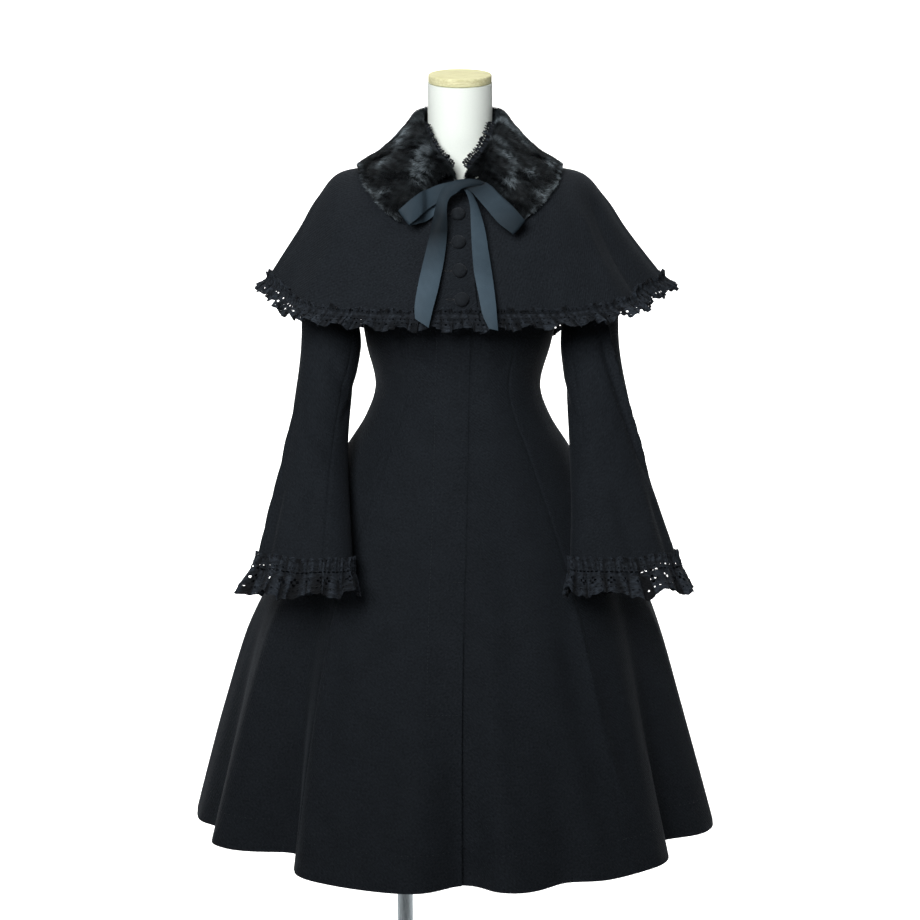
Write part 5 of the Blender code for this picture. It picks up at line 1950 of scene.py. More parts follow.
@dataclass(frozen=True)
class CollarShape:
    """The left half's underside, from its neck seam, at 0, over the roll line to its edge, at 1."""

    cape: CapeShape = field(default_factory=CapeShape)
    sections: SmoothTable = SmoothTable("along seam_angle roll_x roll_y roll_z edge_angle edge_along lift", (
        (0.0, 9, 0.021, -0.087, 1.292, 29, 0.43, 0.003),
        (0.2, 36, 0.044, -0.071, 1.322, 50, 0.385, 0.002),
        (0.4, 63, 0.056, -0.041, 1.359, 73, 0.33, -0.003),
        (0.58, 90, 0.06, 0.0, 1.38, 95, 0.3, -0.006),
        (0.78, 132, 0.047, 0.042, 1.392, 132, 0.35, 0.001),
        (1.0, 180, 0.0, 0.066, 1.396, 180, 0.41, 0.004),
        (1.22, 228, -0.047, 0.042, 1.392, 228, 0.35, 0.001),
    ))
    stand_share: float = 0.30
    middle_share: float = 0.64
    clearance: float = 0.0030
    fur_at_seam: float = 0.005
    fur_at_roll: float = 0.009
    fur_at_edge: float = 0.0065
    front_swell: float = 0.0055
    front_swell_along: float = 0.10
    front_swell_share: float = 0.26
    front_swell_width: float = 0.30
    front_swell_length: float = 0.30
    step: float = 0.01

    def under(self, along: Array, share: Array) -> Array:
        """Points on the underside.

        Args:
            along: ways along, 0 at the front and 1 at the middle of the back.
            share: shares from the neck seam, at 0, to the edge, at 1.

        Returns:
            The points.
        """
        along, share = np.broadcast_arrays(np.asarray(along, float), np.asarray(share, float))
        read = {name: self.sections(name, along) for name in self.sections.columns}
        seam = self.cape.smooth_point(read["seam_angle"], np.zeros(along.shape))
        seam = seam + vectors(0.0, 0.0, self.clearance)
        roll = vectors(read["roll_x"], read["roll_y"], read["roll_z"])
        up = self.cape.outward(read["edge_angle"], read["edge_along"])
        edge = self.cape.smooth_point(read["edge_angle"], read["edge_along"]) + up * self.clearance
        middle = (roll + edge) / 2 + unit(up + vectors(0.0, 0.0, 1.0)) * read["lift"][..., None]
        knots = np.array((0.0, self.stand_share, self.middle_share, 1.0))
        rows = np.stack([seam, roll, middle, edge])
        return np.stack([hermite(knots, rows[..., axis], share) for axis in range(3)], axis=-1)

    def fall(self, along: Array, share: Array, step: float) -> Array:
        """The way from a step before a share to a step after it."""
        return self.under(along, np.minimum(share + step, 1)) - self.under(along, np.maximum(share - step, 0))

    def out(self, along: Array, share: Array) -> Array:
        """The fur side's outward directions."""
        round_neck = self.under(along + self.step, share) - self.under(along - self.step, share)
        return unit(np.cross(self.fall(along, share, self.step), round_neck))

    def pile(self, share: Array) -> Array:
        """How deep the fur's pile is."""
        stand = mix(self.fur_at_seam, self.fur_at_roll, share / self.stand_share)
        fall = mix(self.fur_at_roll, self.fur_at_edge, (share - self.stand_share) / (1 - self.stand_share))
        return np.where(share < self.stand_share, stand, fall)

    def swell(self, along: Array, share: Array) -> Array:
        """How far the fuller roll at the front lifts the pile."""
        across = 1 - smooth_step(np.abs(share - self.front_swell_share) / self.front_swell_width)
        ahead = 1 - smooth_step(np.abs(along - self.front_swell_along) / self.front_swell_length)
        return self.front_swell * across * ahead


@dataclass(frozen=True)
class FurSheenPatch:
    """A patch of painted sheen on the pile, as seen from the front: its middle, half sizes, lean and tone."""

    x: float
    z: float
    half_width: float
    half_height: float
    lean: float
    tone: float

    def share(self, points: Array) -> Array:
        """How much painted sheen the patch puts on each point."""
        ahead, up, turn = points[:, 0] - self.x, points[:, 2] - self.z, math.radians(self.lean)
        wide = ahead * math.cos(turn) + up * math.sin(turn)
        tall = up * math.cos(turn) - ahead * math.sin(turn)
        return self.tone * np.exp(-((wide / self.half_width) ** 2 + (tall / self.half_height) ** 2))


RIGHT_SHEEN_PATCHES = (
    FurSheenPatch(-0.074, 1.353, 0.007, 0.019, -31, 0.55),
    FurSheenPatch(-0.053, 1.302, 0.01, 0.026, -10, 0.7),
    FurSheenPatch(-0.103, 1.311, 0.006, 0.012, -50, 0.35),
    FurSheenPatch(-0.106, 1.267, 0.01, 0.01, 0, 0.3),
    FurSheenPatch(-0.036, 1.33, 0.006, 0.012, 20, 0.25),
)
LEFT_SHEEN_PATCHES = (
    FurSheenPatch(0.071, 1.36, 0.007, 0.028, 45, 0.5),
    FurSheenPatch(0.061, 1.322, 0.007, 0.017, 23, 0.6),
    FurSheenPatch(0.066, 1.286, 0.007, 0.014, -27, 0.6),
    FurSheenPatch(0.096, 1.295, 0.006, 0.01, 20, 0.45),
    FurSheenPatch(0.123, 1.311, 0.005, 0.009, 30, 0.5),
    FurSheenPatch(0.113, 1.268, 0.012, 0.007, 0, 0.4),
)


@dataclass(frozen=True)
class FurTones:
    """How light the locks are: painted sheen in patches placed at the front and loose ones behind, and knobs
    along the edge.
    """

    patches: tuple[FurSheenPatch, ...]
    pile: float = 0.05
    front: float = 0.02
    front_ease: float = 0.05
    loose: SoftNoise = SoftNoise(0.019, 8)
    loose_sheen_tone: float = 0.6
    loose_span: Pair = (0.25, 0.55)
    mottle: SoftNoise = SoftNoise(0.009, 4)
    mottle_size: float = 0.7
    crisp: SoftNoise = SoftNoise(0.0042, 10)
    crisp_size: float = 0.9
    crisp_loose: float = 0.30
    knobs: SoftNoise = SoftNoise(0.0050, 9)
    knob_tone: float = 0.34
    knob_size: float = 0.26
    darkest: float = 0.01

    def at(self, points: Array, edge: Array, dice: np.random.Generator) -> Array:
        """The tone of each lock.

        Args:
            points: the roots of the locks.
            edge: how near each one is to the collar's rolled edge, from 0 to 1.
            dice: the half's own random numbers.

        Returns:
            A tone from 0 to 1 for each lock.
        """
        front = smooth_step((self.front - points[:, 1]) / self.front_ease)
        # Painted sheen: the placed patches at the front, mottled, and loose patches from soft noise behind.
        placed = sum(patch.share(points) for patch in self.patches)
        placed = placed * (1 + self.mottle_size * self.mottle.at(points))
        low, rise = self.loose_span
        loose = self.loose_sheen_tone * smooth_step(low + rise * self.loose.at(points))
        pile = self.pile + mix(loose, placed, front)
        crisp = 1 + self.crisp_size * self.crisp.at(points) + dice.normal(0, self.crisp_loose, len(points))
        knobs = self.knob_tone + self.knob_size * self.knobs.at(points)
        return np.clip(mix(pile, knobs, edge) * crisp, self.darkest, 1.0)


@dataclass(frozen=True)
class FurGrowth:
    """How the locks lie and how long they are.

    They swirl and clump by soft noise, are drawn over the front corner, and hang down at the neck's foot.
    Swirl and lean are in radians, and the lean is from the skin.
    """

    clump: SoftNoise = SoftNoise(0.017, 5)
    fine: SoftNoise = SoftNoise(0.006, 6)
    swirl: SoftNoise = SoftNoise(0.024, 7)
    swirl_sizes: Triple = (1.1, 0.5, 0.20)
    lean: Triple = (0.62, 0.26, 0.08)
    lean_at_edge: float = 0.72
    lean_range: Pair = (0.34, 1.15)
    corner_lay: float = 1.6
    corner_reach: float = 0.14
    corner_drop: float = 1.3
    corner_growth: float = 0.6
    hem_share: float = 0.24
    hem_reach: float = 0.36
    hem_length: float = 0.0105
    clump_growth: float = 0.16
    length_loose: Pair = (0.88, 1.10)
    length_range: Pair = (0.004, 0.0115)
    width: float = 0.00055
    width_loose: Pair = (0.7, 1.3)
    tip_droop: float = 0.10
    side_nudge: float = 0.01


@dataclass
class FurCollar:
    """One half of the fur collar: a skin, the fur's locks on it, and lace inside the neck."""

    side: Side
    tones: FurTones
    lace_width: float
    seed: int
    shape: CollarShape = field(default_factory=CollarShape)
    growth: FurGrowth = FurGrowth()
    columns: int = 90
    rows: int = 56
    skin_share: float = 0.34
    skin_wall: float = 0.0016
    skin_tone: float = 0.03
    root_depth: float = 0.06
    root_tone: float = 0.25
    locks: int = 36000
    tries: int = 3
    step: float = 0.004
    edge_start: float = 0.92
    rim_shares: Pair = (0.12, 0.46)
    lace_span: Pair = (0.01, 0.50)
    lace_sunk: float = 0.005
    lace_lean: Triple = (-0.90, -0.16, 0.38)
    lace_waves: float = 11.0
    lace_fullness: float = 1.25
    lace_wave: float = 0.0026
    lace_drift: Pair = (1.2, 0.31)
    lace_small: Pair = (0.4, 2.1)
    lace_ends: Triple = (0.6, 0.10, 0.16)
    lace_sway: float = 0.35
    lace_points: int = 120
    rim_steps: int = 35

    def mirrored(self, points: Array) -> Array:
        """Points of the left half on this half's side."""
        return points * np.array((self.side.value, 1.0, 1.0))

    def skin(self) -> tuple[Piece, Sheet]:
        """Builds the skin that the fur grows from.

        Returns:
            The piece and its sheet.
        """
        along, share = np.meshgrid(
            np.linspace(0, 1 - SEAM_GAP, self.columns + 1), np.linspace(0, 1, self.rows + 1))
        depth = self.shape.swell(along, share) + self.shape.pile(share) * self.skin_share
        points = self.shape.under(along, share) + self.shape.out(along, share) * depth[..., None]
        sheet = Sheet(self.mirrored(points), flip=self.side is Side.LEFT)
        piece = sheet.build(f"fur_skin_{self.side.word}", FUR, self.skin_wall)
        set_tone(piece, np.full(len(piece.data.vertices), self.skin_tone))
        settle(piece, "fur", f"collar_{self.side.word}")
        return piece, sheet

    def roots(self, dice: np.random.Generator) -> tuple[Array, Array]:
        """Picks where the locks grow, evenly over the skin.

        Args:
            dice: the half's own random numbers.

        Returns:
            The way along and the share of each lock.
        """
        count = self.locks * self.tries
        along, share = dice.uniform(0.0, 1 - SEAM_GAP, count), dice.uniform(0.0, 1.0, count)
        ahead = self.shape.under(along + self.step, share) - self.shape.under(along - self.step, share)
        cell = np.linalg.norm(np.cross(ahead, self.shape.fall(along, share, self.step)), axis=-1)
        chosen = np.argsort(dice.uniform(size=count) ** (1 / cell))[-self.locks:]
        return along[chosen], share[chosen]

    def fur(self) -> Piece:
        """Grows the fur: fine tapered locks that lie over in patches, lighter along the rolled edge.

        Returns:
            The locks as one piece.
        """
        dice, grow = np.random.default_rng(self.seed), self.growth
        along, share = self.roots(dice)
        count = len(along)
        skin, out = self.shape.under(along, share), self.shape.out(along, share)
        deep, swell = self.shape.pile(share), self.shape.swell(along, share)
        fall = unit(self.shape.fall(along, share, self.shape.step))
        across = np.cross(out, fall)
        clump = grow.clump.at(skin)
        edge = smooth_step((share - self.edge_start) / (1 - self.edge_start))
        root = skin + out * (swell + deep * (self.skin_share - self.root_depth))[:, None]
        wide, narrow, loose = grow.swirl_sizes
        swirl = wide * grow.swirl.at(skin) + narrow * grow.fine.at(skin) + dice.normal(0, loose, count)
        middle, clumped, loose = grow.lean
        lean = mix(middle + clumped * clump + dice.normal(0, loose, count), grow.lean_at_edge, edge)
        lean = np.clip(lean, *grow.lean_range)
        lay = fall * np.cos(swirl)[:, None] + across * np.sin(swirl)[:, None]
        corner = 1 - smooth_step(along / grow.corner_reach)
        lay = lay - across * (grow.corner_lay * corner)[:, None]
        lay = unit(lay - vectors(0.0, 0.0, grow.corner_drop * corner))
        hem = (1 - smooth_step(share / grow.hem_share)) * (1 - smooth_step(along / grow.hem_reach))
        lay = unit(mix(lay, np.array((0.0, 0.0, -1.0)), hem[:, None]))
        way = unit(lay * np.cos(lean)[:, None] + out * np.sin(lean)[:, None])
        pile = deep * (1 - self.skin_share) * (1 + grow.clump_growth * clump)
        length = pile / np.sin(lean) * dice.uniform(*grow.length_loose, count)
        length = np.clip(length, *grow.length_range) * (1 + grow.corner_growth * corner)
        length = np.maximum(length, grow.hem_length * hem)
        width = grow.width * dice.uniform(*grow.width_loose, count)
        tip = root + way * length[:, None] - out * (length * grow.tip_droop)[:, None]
        piece = self.spikes(root, tip, unit(np.cross(way, out + grow.side_nudge)), way, width)
        # The locks' tone holds painted sheen in patches, and is darker at the roots.
        tone = self.tones.at(self.mirrored(skin), edge, dice)
        root_tone = self.root_tone
        set_tone(piece, tone[:, None] * np.array((root_tone, root_tone, root_tone, 1.0)))
        smooth_shade(piece, angle=80)
        settle(piece, "fur")
        return piece

    def spikes(self, root: Array, tip: Array, side: Array, way: Array, width: Array) -> Piece:
        """Makes three-sided spikes on this half's side.

        Args:
            root: the middle of each spike's foot.
            tip: its tip.
            side: a direction across it.
            way: the direction that it points in.
            width: the half width of its foot.

        Returns:
            All spikes as one piece, with three points of the foot and then the tip for each.
        """
        up = np.cross(way, side)
        rings = []
        for turn in (0.0, 2 * math.pi / 3, 4 * math.pi / 3):
            spoke = side * math.cos(turn) + up * math.sin(turn)
            rings.append(root + spoke * width[:, None])
        points = self.mirrored(np.stack([*rings, tip], axis=1).reshape(-1, 3))
        shape = np.array(((0, 1, 3), (1, 2, 3), (2, 0, 3), (0, 2, 1)))
        if self.side is Side.RIGHT:
            shape = shape[:, ::-1]
        faces = (4 * np.arange(len(root))[:, None, None] + shape[None]).reshape(-1, 3)
        return new_piece(f"fur_locks_{self.side.word}", points, faces, FUR)

    def rim(self, along: Array) -> Array:
        """The innermost points of the fur beside the neck, for each way along."""
        ways, shares = np.meshgrid(along, np.linspace(*self.rim_shares, self.rim_steps), indexing="ij")
        deep = self.shape.pile(shares) + self.shape.swell(ways, shares)
        points = self.shape.under(ways, shares) + self.shape.out(ways, shares) * deep[..., None]
        return points[np.arange(len(along)), np.argmin(points[..., 0], axis=1)]

    def lace(self) -> None:
        """Builds the narrow lace that stands out of the fur beside the neck."""
        ways = np.linspace(0, 1, self.lace_points)
        rim = self.rim(mix(*self.lace_span, ways))
        lean = unit(np.array(self.lace_lean))

        def place(share: Array, across: Array, raised: Array) -> Array:
            """Places points of the strip: it leans from the fur towards the middle of the neck.

            Args:
                share: the share along the strip.
                across: the way across it, from its heading.
                raised: how far its thread is raised.

            Returns:
                The points.
            """
            seat = line_points(share, ways, rim)
            turn = 2 * math.pi * share * self.lace_waves
            (drift, drift_pace), (small, small_pace) = self.lace_drift, self.lace_small
            wave = np.sin(turn + drift * np.sin(turn * drift_pace)) + small * np.sin(turn * small_pace)
            narrow, first, last = self.lace_ends
            fade = mix(narrow, 1.0, smooth_step(share / first) * smooth_step((1 - share) / last))
            height = across / (COLLAR_LACE.rows * COLLAR_LACE.cell)
            stand = height * self.lace_width * fade - self.lace_sunk
            sway = self.lace_wave * wave * height + raised
            return self.mirrored(seat + lean * stand[..., None] + vectors(0.0, -sway, self.lace_sway * sway))

        sheet = COLLAR_LACE.sheet(way_along(rim)[-1] * self.lace_fullness, place, flip=self.side is Side.LEFT)
        COLLAR_LACE.sew(f"collar_lace_{self.side.word}", sheet, f"fur_skin_{self.side.word}")

    def build(self) -> None:
        """Builds the half."""
        skin, sheet = self.skin()
        sheet.declare(skin, "folded", ["wool_cape_back"], [self.fur()])
        self.lace()


# Bow


@dataclass(frozen=True)
class RibbonStretch:
    """A stretch of ribbon, given by both its edges at some sections from its start to its end.

    A section holds x, y and z of the first edge, and then of the second one. The tones go along it too, as
    painted shade near the knot and where the ribbon turns away, and painted sheen where it is brightest.
    """

    name: str
    node: str
    sections: tuple[tuple[float, ...], ...]
    swell: float
    ripple: float
    ripples: float
    tones: tuple[float, ...]
    rows: int = 96
    columns: int = 14
    ripple_slant: float = 0.4
    small_ripple: Pair = (0.5, 1.7)

    def grid(self) -> Array:
        """The stretch's points, rows along it by columns across it, with soft ripples."""
        data = np.array(self.sections)
        lines = data[:, :3], data[:, 3:]
        way = way_along((lines[0] + lines[1]) / 2)
        at = np.linspace(0, way[-1], self.rows + 1)
        first, second = (
            np.stack([hermite(way, line[:, axis], at) for axis in range(3)], axis=-1) for line in lines)
        across = np.linspace(0, 1, self.columns + 1)[None, :]
        front = unit(np.cross(np.gradient((first + second) / 2, axis=0), second - first))[:, None]
        front = front * -np.sign(front[0, 0, 1])
        along = (at / way[-1])[:, None]
        turn = 2 * math.pi * (self.ripples * along + self.ripple_slant * across)
        size, pace = self.small_ripple
        wave = np.sin(turn) + size * np.sin(turn * pace + 1)
        relief = self.swell * 4 * across * (1 - across) + self.ripple * wave
        return mix(first[:, None], second[:, None], across[..., None]) + front * relief[..., None]

    def build(self) -> None:
        """Makes the stretch, with its outside towards the front."""
        points = self.grid()
        sheet = Sheet(points)
        facings = sheet.facings()
        sheet.flip = bool(facings[: len(facings) // 4, 1].sum() > 0)
        way = np.linspace(0, 1, len(points))
        # Painted shade and painted sheen along the stretch, from its tones.
        tone = np.interp(way, np.linspace(0, 1, len(self.tones)), self.tones)
        piece = sheet.build(self.name, SATIN, RIBBON_WALL, tone=np.repeat(tone, points.shape[1]))
        settle(piece, "satin", self.node)
        sheet.declare(piece, "folded", ["wool_cape_front_right"])


@dataclass
class RibbonBow:
    """A satin ribbon tied in a flat bow: a band round the knot, two loops and two free ends.

    The wearer's right end comes over the knot in an arch before it falls.
    """

    # Each stretch's tones are painted shade, low near the knot, and painted sheen, high on its brightest
    # parts.
    stretches: tuple[RibbonStretch, ...] = (
        RibbonStretch("satin_tail_right", "bow_tail_right", (
            (0.0345, -0.13, 1.28, 0.03, -0.1312, 1.2755),
            (0.0195, -0.1318, 1.2838, 0.0125, -0.1338, 1.2735),
            (0.0025, -0.1325, 1.2838, 0.0025, -0.1355, 1.2705),
            (-0.0125, -0.1335, 1.28, -0.006, -0.137, 1.264),
            (-0.022, -0.135, 1.2735, -0.013, -0.139, 1.259),
            (-0.028, -0.137, 1.264, -0.017, -0.1415, 1.251),
            (-0.032, -0.14, 1.252, -0.018, -0.144, 1.24),
            (-0.0355, -0.143, 1.237, -0.0175, -0.146, 1.229),
            (-0.041, -0.15, 1.2085, -0.0175, -0.15, 1.211),
            (-0.0495, -0.162, 1.173, -0.021, -0.16, 1.177),
            (-0.058, -0.177, 1.1335, -0.029, -0.175, 1.136),
            (-0.0615, -0.185, 1.1075, -0.0365, -0.184, 1.1065),
            (-0.0605, -0.188, 1.093, -0.0425, -0.189, 1.081),
        ), swell=0.0016, ripple=0.0004, ripples=2.6,
            tones=(0.14, 0.30, 0.40, 0.40, 0.18, 0.14, 0.44, 0.66, 0.90, 1.0, 0.95, 0.8)),
        RibbonStretch("satin_tail_left", "bow_tail_left", (
            (0.0025, -0.1235, 1.275, 0.009, -0.1235, 1.275),
            (0.0095, -0.129, 1.2625, 0.017, -0.1285, 1.2635),
            (0.0135, -0.1375, 1.247, 0.0255, -0.1355, 1.2455),
            (0.015, -0.149, 1.214, 0.034, -0.147, 1.2155),
            (0.0165, -0.159, 1.1865, 0.039, -0.157, 1.1835),
            (0.019, -0.17, 1.1565, 0.0435, -0.168, 1.155),
            (0.025, -0.18, 1.125, 0.0475, -0.178, 1.124),
            (0.031, -0.187, 1.097, 0.05, -0.186, 1.097),
            (0.039, -0.19, 1.08, 0.0515, -0.189, 1.077),
        ), swell=0.0012, ripple=0.0004, ripples=1.7,
            tones=(0.32, 0.60, 0.78, 0.80, 0.74, 0.95, 0.90, 0.72)),
        RibbonStretch("satin_loop_left", "bow_loop_left", (
            (0.026, -0.122, 1.282, 0.007, -0.1265, 1.2735),
            (0.0385, -0.13, 1.2765, 0.0185, -0.136, 1.2635),
            (0.056, -0.141, 1.259, 0.0355, -0.147, 1.243),
            (0.072, -0.15, 1.2435, 0.0525, -0.155, 1.223),
            (0.087, -0.153, 1.229, 0.07, -0.157, 1.2095),
            (0.0893, -0.15, 1.2262, 0.0723, -0.1542, 1.2065),
            (0.0865, -0.1462, 1.23, 0.07, -0.151, 1.21),
            (0.0735, -0.142, 1.245, 0.0535, -0.1475, 1.224),
            (0.0575, -0.133, 1.2605, 0.0365, -0.1395, 1.244),
            (0.0395, -0.1225, 1.2775, 0.0195, -0.128, 1.264),
            (0.027, -0.115, 1.282, 0.008, -0.1185, 1.2735),
        ), swell=0.0010, ripple=0.0003, ripples=3.0, rows=120,
            tones=(0.10, 0.40, 0.58, 0.46, 0.30, 0.26, 0.35, 0.36, 0.36, 0.32)),
        RibbonStretch("satin_loop_right", "bow_loop_right", (
            (-0.0015, -0.122, 1.282, -0.007, -0.125, 1.2695),
            (-0.026, -0.123, 1.278, -0.026, -0.128, 1.2555),
            (-0.044, -0.129, 1.2705, -0.044, -0.134, 1.243),
            (-0.0535, -0.142, 1.2655, -0.052, -0.147, 1.2355),
            (-0.0655, -0.149, 1.2565, -0.059, -0.153, 1.2285),
            (-0.082, -0.152, 1.242, -0.067, -0.156, 1.2225),
            (-0.0842, -0.149, 1.2395, -0.0692, -0.153, 1.2198),
            (-0.08, -0.1455, 1.2425, -0.0665, -0.15, 1.22),
            (-0.064, -0.14, 1.254, -0.056, -0.1435, 1.223),
            (-0.048, -0.1275, 1.266, -0.0455, -0.1315, 1.227),
            (-0.038, -0.1195, 1.272, -0.035, -0.1235, 1.236),
            (-0.02, -0.1165, 1.279, -0.018, -0.12, 1.256),
            (-0.001, -0.115, 1.2815, -0.005, -0.118, 1.269),
        ), swell=0.0008, ripple=0.0003, ripples=3.0, rows=120,
            tones=(0.28, 0.50, 0.62, 0.60, 0.56, 0.36, 0.30, 0.9, 1.0, 0.8)),
        RibbonStretch("satin_band", "bow_knot", (
            (-0.004, -0.107, 1.277, 0.01, -0.107, 1.277),
            (-0.004, -0.1105, 1.2806, 0.01, -0.1105, 1.2806),
            (-0.0038, -0.1138, 1.278, 0.0098, -0.1138, 1.278),
            (-0.0035, -0.1148, 1.2735, 0.0095, -0.1148, 1.2735),
            (-0.0035, -0.113, 1.269, 0.0095, -0.113, 1.269),
            (-0.0035, -0.1095, 1.2672, 0.0095, -0.1095, 1.2672),
        ), swell=-0.0006, ripple=0.0003, ripples=1.0, rows=48,
            tones=(0.36, 0.36)),
    )

    def build(self) -> None:
        """Builds the ribbon's stretches."""
        for stretch in self.stretches:
            stretch.build()


# Dress form


@dataclass
class DressForm:
    """The limbless form: a jersey-covered torso, a wooden neck cap, a pole and a base."""

    rings: SmoothTable = field(default_factory=lambda: SmoothTable("z half_width front back centre_y", (
        (0.745, 0.146, 0.092, 0.112, 0.0),
        (0.8, 0.156, 0.098, 0.12, 0.0),
        (0.86, 0.155, 0.1, 0.118, 0.0),
        (0.912, 0.142, 0.098, 0.11, 0.0),
        (0.953, 0.122, 0.091, 0.096, 0.0),
        (0.998, 0.11, 0.088, 0.082, 0.0),
        (1.055, 0.122, 0.101, 0.09, 0.0),
        (1.115, 0.133, 0.118, 0.1, 0.0),
        (1.165, 0.138, 0.108, 0.1, 0.0),
        (1.215, 0.144, 0.082, 0.083, 0.0),
        (1.253, 0.14, 0.058, 0.062, 0.0),
        (1.28, 0.11, 0.046, 0.048, 0.001),
        (1.301, 0.077, 0.042, 0.044, 0.002),
        (1.325, 0.055, 0.043, 0.045, 0.001),
        (1.35, 0.047, 0.046, 0.048, -0.002),
        (1.395, 0.0462, 0.0455, 0.0455, -0.008),
        (1.4285, 0.0462, 0.0455, 0.0455, -0.012),
    )))
    low: float = 0.745
    high: float = 1.4285
    tilt: float = math.radians(16.7)
    tilt_start: float = 1.360
    cap_radius: float = 0.0455
    cap_height: float = 0.0117
    cap_edge: float = 0.0022
    cap_gap: float = 1.5 * SEAM_GAP
    pole_x: float = -0.081
    pole_radius: float = 0.0115
    base_radius: float = 0.190
    base_height: float = 0.014
    base_edge: float = 0.0035
    segments: int = 72
    levels: int = 96

    def torso(self) -> None:
        """Builds the torso and neck: a sphere whose rings are drawn out to the form's sections."""
        piece, points = new_primitive("form_body", bpy.ops.mesh.primitive_uv_sphere_add,
                                      segments=self.segments, ring_count=self.levels, radius=1.0)
        pole = np.abs(points[:, 2]) > 0.99999
        share = np.arccos(np.clip(-points[:, 2], -1, 1)) / math.pi
        z = mix(self.low, self.high, np.clip((share * self.levels - 1) / (self.levels - 2), 0, 1))
        turn = np.arctan2(points[:, 0], -points[:, 1])
        reach = np.where(np.cos(turn) > 0, self.rings("front", z), self.rings("back", z))
        size = np.where(pole, 0.0, 1.0)
        x, y = self.rings("half_width", z) * np.sin(turn) * size, -reach * np.cos(turn) * size
        lean = smooth_step((z - self.tilt_start) / (self.high - self.tilt_start))
        move_points(piece, vectors(x, y + self.rings("centre_y", z), z + y * math.tan(self.tilt) * lean))
        dress(piece, FORM_CLOTH, sharp=50)
        settle(piece, "form_cloth", "form_torso")

    def disc(self, name: str, radius: float, height: float, edge: float, finish: Finish) -> Piece:
        """Models a round disc with eased edges, standing on the origin.

        Args:
            name: the piece's name.
            radius: its radius.
            height: its height.
            edge: how far its edges are eased.
            finish: its finish.

        Returns:
            The piece.
        """
        piece, _ = new_primitive(name, bpy.ops.mesh.primitive_cylinder_add, vertices=128, radius=radius,
                                 depth=height, location=(0, 0, height / 2))
        make_active(piece)
        bpy.ops.object.transform_apply(location=True, rotation=True, scale=True)
        if edge:
            apply_modifier(piece, "BEVEL", width=edge, segments=4, limit_method="ANGLE",
                           angle_limit=math.radians(40))
        dress(piece, finish, sharp=35)
        return piece

    def build(self) -> None:
        """Builds the form's pieces."""
        self.torso()
        cap = self.disc("wooden_neck_cap", self.cap_radius, self.cap_height, self.cap_edge, CAP_WOOD)
        top = Matrix.Translation((0, float(self.rings("centre_y", self.high)), self.high + self.cap_gap))
        cap.data.transform(top @ Matrix.Rotation(self.tilt, 4, "X"))
        settle(cap, "wood", "form_neck_cap")
        base = self.disc("steel_base", self.base_radius, self.base_height, self.base_edge, STEEL)
        base.data.transform(Matrix.Translation((self.pole_x, 0, 0)))
        settle(base, "steel", "form_base")
        foot = self.base_height + SEAM_GAP
        pole = self.disc("steel_pole", self.pole_radius, self.low - SEAM_GAP - foot, 0.0, STEEL)
        pole.data.transform(Matrix.Translation((self.pole_x, 0, foot)))
        settle(pole, "steel", "form_pole")


# Studio


@dataclass(frozen=True)
class SoftLight:
    """A square soft light: where it hangs and faces, its side, its power in watts and spread in degrees."""

    name: str
    place: Triple
    aim: Triple
    size: float
    power: float
    spread: float = 180.0

    def build(self) -> None:
        """Hangs the light."""
        lamp = bpy.data.lights.new(self.name, "AREA")
        lamp.shape = "SQUARE"
        lamp.size = self.size
        lamp.energy = self.power
        lamp.spread = math.radians(self.spread)
        holder = bpy.data.objects.new(self.name, lamp)
        holder.location = self.place
        holder.rotation_euler = (Vector(self.aim) - Vector(self.place)).to_track_quat("-Z", "Y").to_euler()
        bpy.context.scene.collection.objects.link(holder)


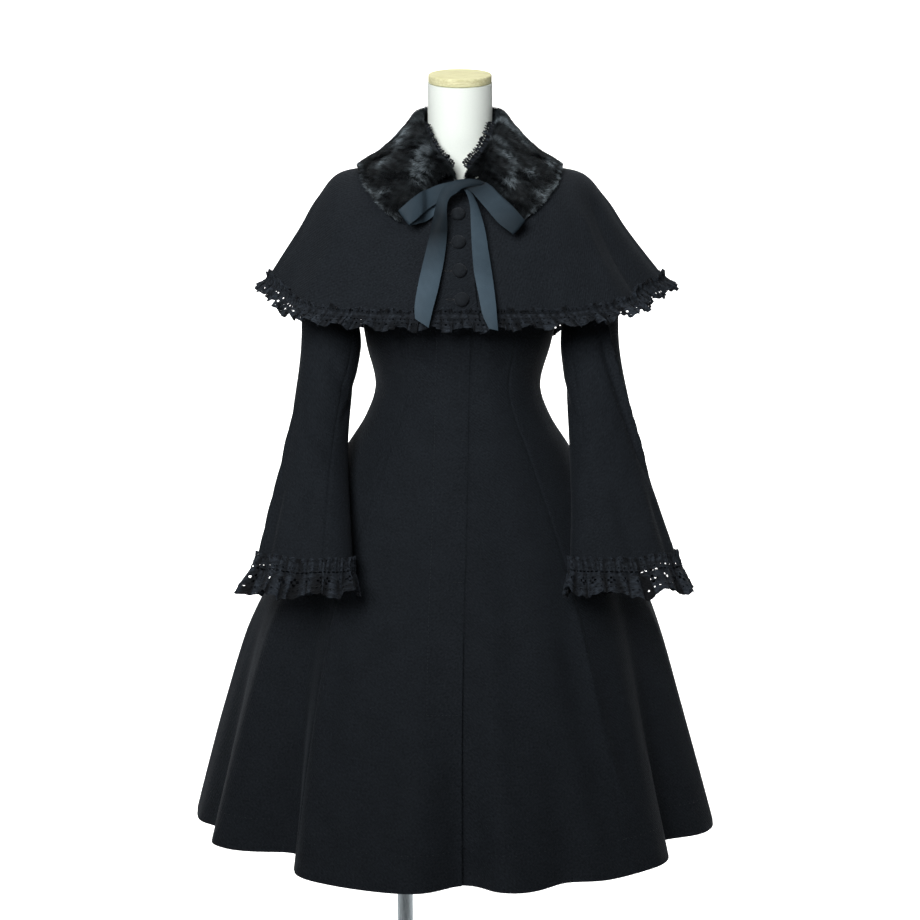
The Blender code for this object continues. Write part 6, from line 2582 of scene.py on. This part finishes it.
@dataclass
class Studio:
    """A white floor that curves up to a backdrop, soft lights and the camera.

    The focal length is in picture points, and so is how far the picture's middle lies below the horizon.
    """

    picture_side: float = 920.0
    focal_points: float = 1931.0
    points_below: float = 150.0
    sensor: float = 36.0
    camera_place: Triple = (0.0, -2.8, 1.105)
    room_light: float = 0.12
    floor_half_width: float = 6.0
    floor_front: float = -6.0
    floor_back: float = 2.6
    curve_radius: float = 1.2
    curve_steps: int = 24
    backdrop_top: float = 5.0
    lights: tuple[SoftLight, ...] = (
        SoftLight("key_light", (-0.8, -2.8, 2.15), (0.0, 0.0, 1.40), 1.4, 17.8, spread=64.0),
        SoftLight("fill_light", (2.2, -2.2, 2.2), (0.0, 0.0, 0.95), 1.8, 3.0),
        SoftLight("back_light", (0.0, 1.2, 3.4), (0.0, 2.6, 1.2), 2.4, 130.0, spread=128.0),
    )

    def floor(self) -> None:
        """Builds the floor and backdrop as one curved sheet."""
        turn = np.linspace(0, math.pi / 2, self.curve_steps + 1)
        back, up = self.floor_back + self.curve_radius * np.sin(turn), self.curve_radius * (1 - np.cos(turn))
        y = np.concatenate([[self.floor_front], back, [self.floor_back + self.curve_radius]])
        z = np.concatenate([[0.0], up, [self.backdrop_top]])
        rows = [vectors(x, y, z) for x in (-self.floor_half_width, self.floor_half_width)]
        sheet = Sheet(np.stack(rows, axis=1))
        piece = new_piece("studio_floor", sheet.points.reshape(-1, 3), sheet.quads(), FLOOR)
        smooth_shade(piece, angle=60)
        piece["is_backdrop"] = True

    def camera(self) -> None:
        """Stands the camera at the photograph's angle."""
        lens = bpy.data.cameras.new("camera")
        lens.sensor_width = self.sensor
        lens.lens = self.sensor * self.focal_points / self.picture_side
        holder = bpy.data.objects.new("camera", lens)
        holder.location = self.camera_place
        pitch = math.atan(self.points_below / self.focal_points)
        holder.rotation_euler = (math.pi / 2 - pitch, 0.0, 0.0)
        bpy.context.scene.collection.objects.link(holder)
        bpy.context.scene.camera = holder

    def world(self) -> None:
        """Fills the room with even light, and shows it as plain white."""
        world = bpy.data.worlds.new("studio")
        world.use_nodes = True
        tree = ShaderTree(world.node_tree)
        glow = world.node_tree.nodes["Background"]
        glow.inputs["Color"].default_value = (1.0, 1.0, 1.0, 1.0)
        seen = tree.add("LightPath").outputs["Is Camera Ray"]
        tree.join(tree.spread(seen, (0.0, 1.0), (self.room_light, 1.0)), glow.inputs["Strength"])
        bpy.context.scene.world = world

    def build(self) -> None:
        """Builds the room and its light, with plain tones."""
        self.floor()
        self.camera()
        self.world()
        for light in self.lights:
            light.build()
        bpy.context.scene.view_settings.view_transform = "Standard"


def corners(box: Sequence[Sequence[float]]) -> list[list[float]]:
    """A box's two corners as plain lists of numbers."""
    return [[float(value) for value in corner] for corner in box]


def main() -> None:
    """Builds the studio and the pieces in order."""
    logging.basicConfig(level=logging.INFO, format="%(name)s %(message)s")
    solid_box = corners(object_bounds())
    Studio().build()
    DressForm().build()
    CoatBody().build()
    for shape in (RIGHT_SLEEVE, LEFT_SLEEVE):
        Sleeve(shape).build()
    Cape().build()
    full_roll = CollarShape(front_swell=0.0070)
    FurCollar(Side.RIGHT, FurTones(RIGHT_SHEEN_PATCHES), lace_width=0.012, seed=11, shape=full_roll).build()
    FurCollar(Side.LEFT, FurTones(LEFT_SHEEN_PATCHES), lace_width=0.018, seed=12).build()
    RibbonBow().build()
    CoveredButtons().build()
    {"solids": solid_box, "pieces": corners(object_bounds())}


if __name__ == "__main__":
    main()
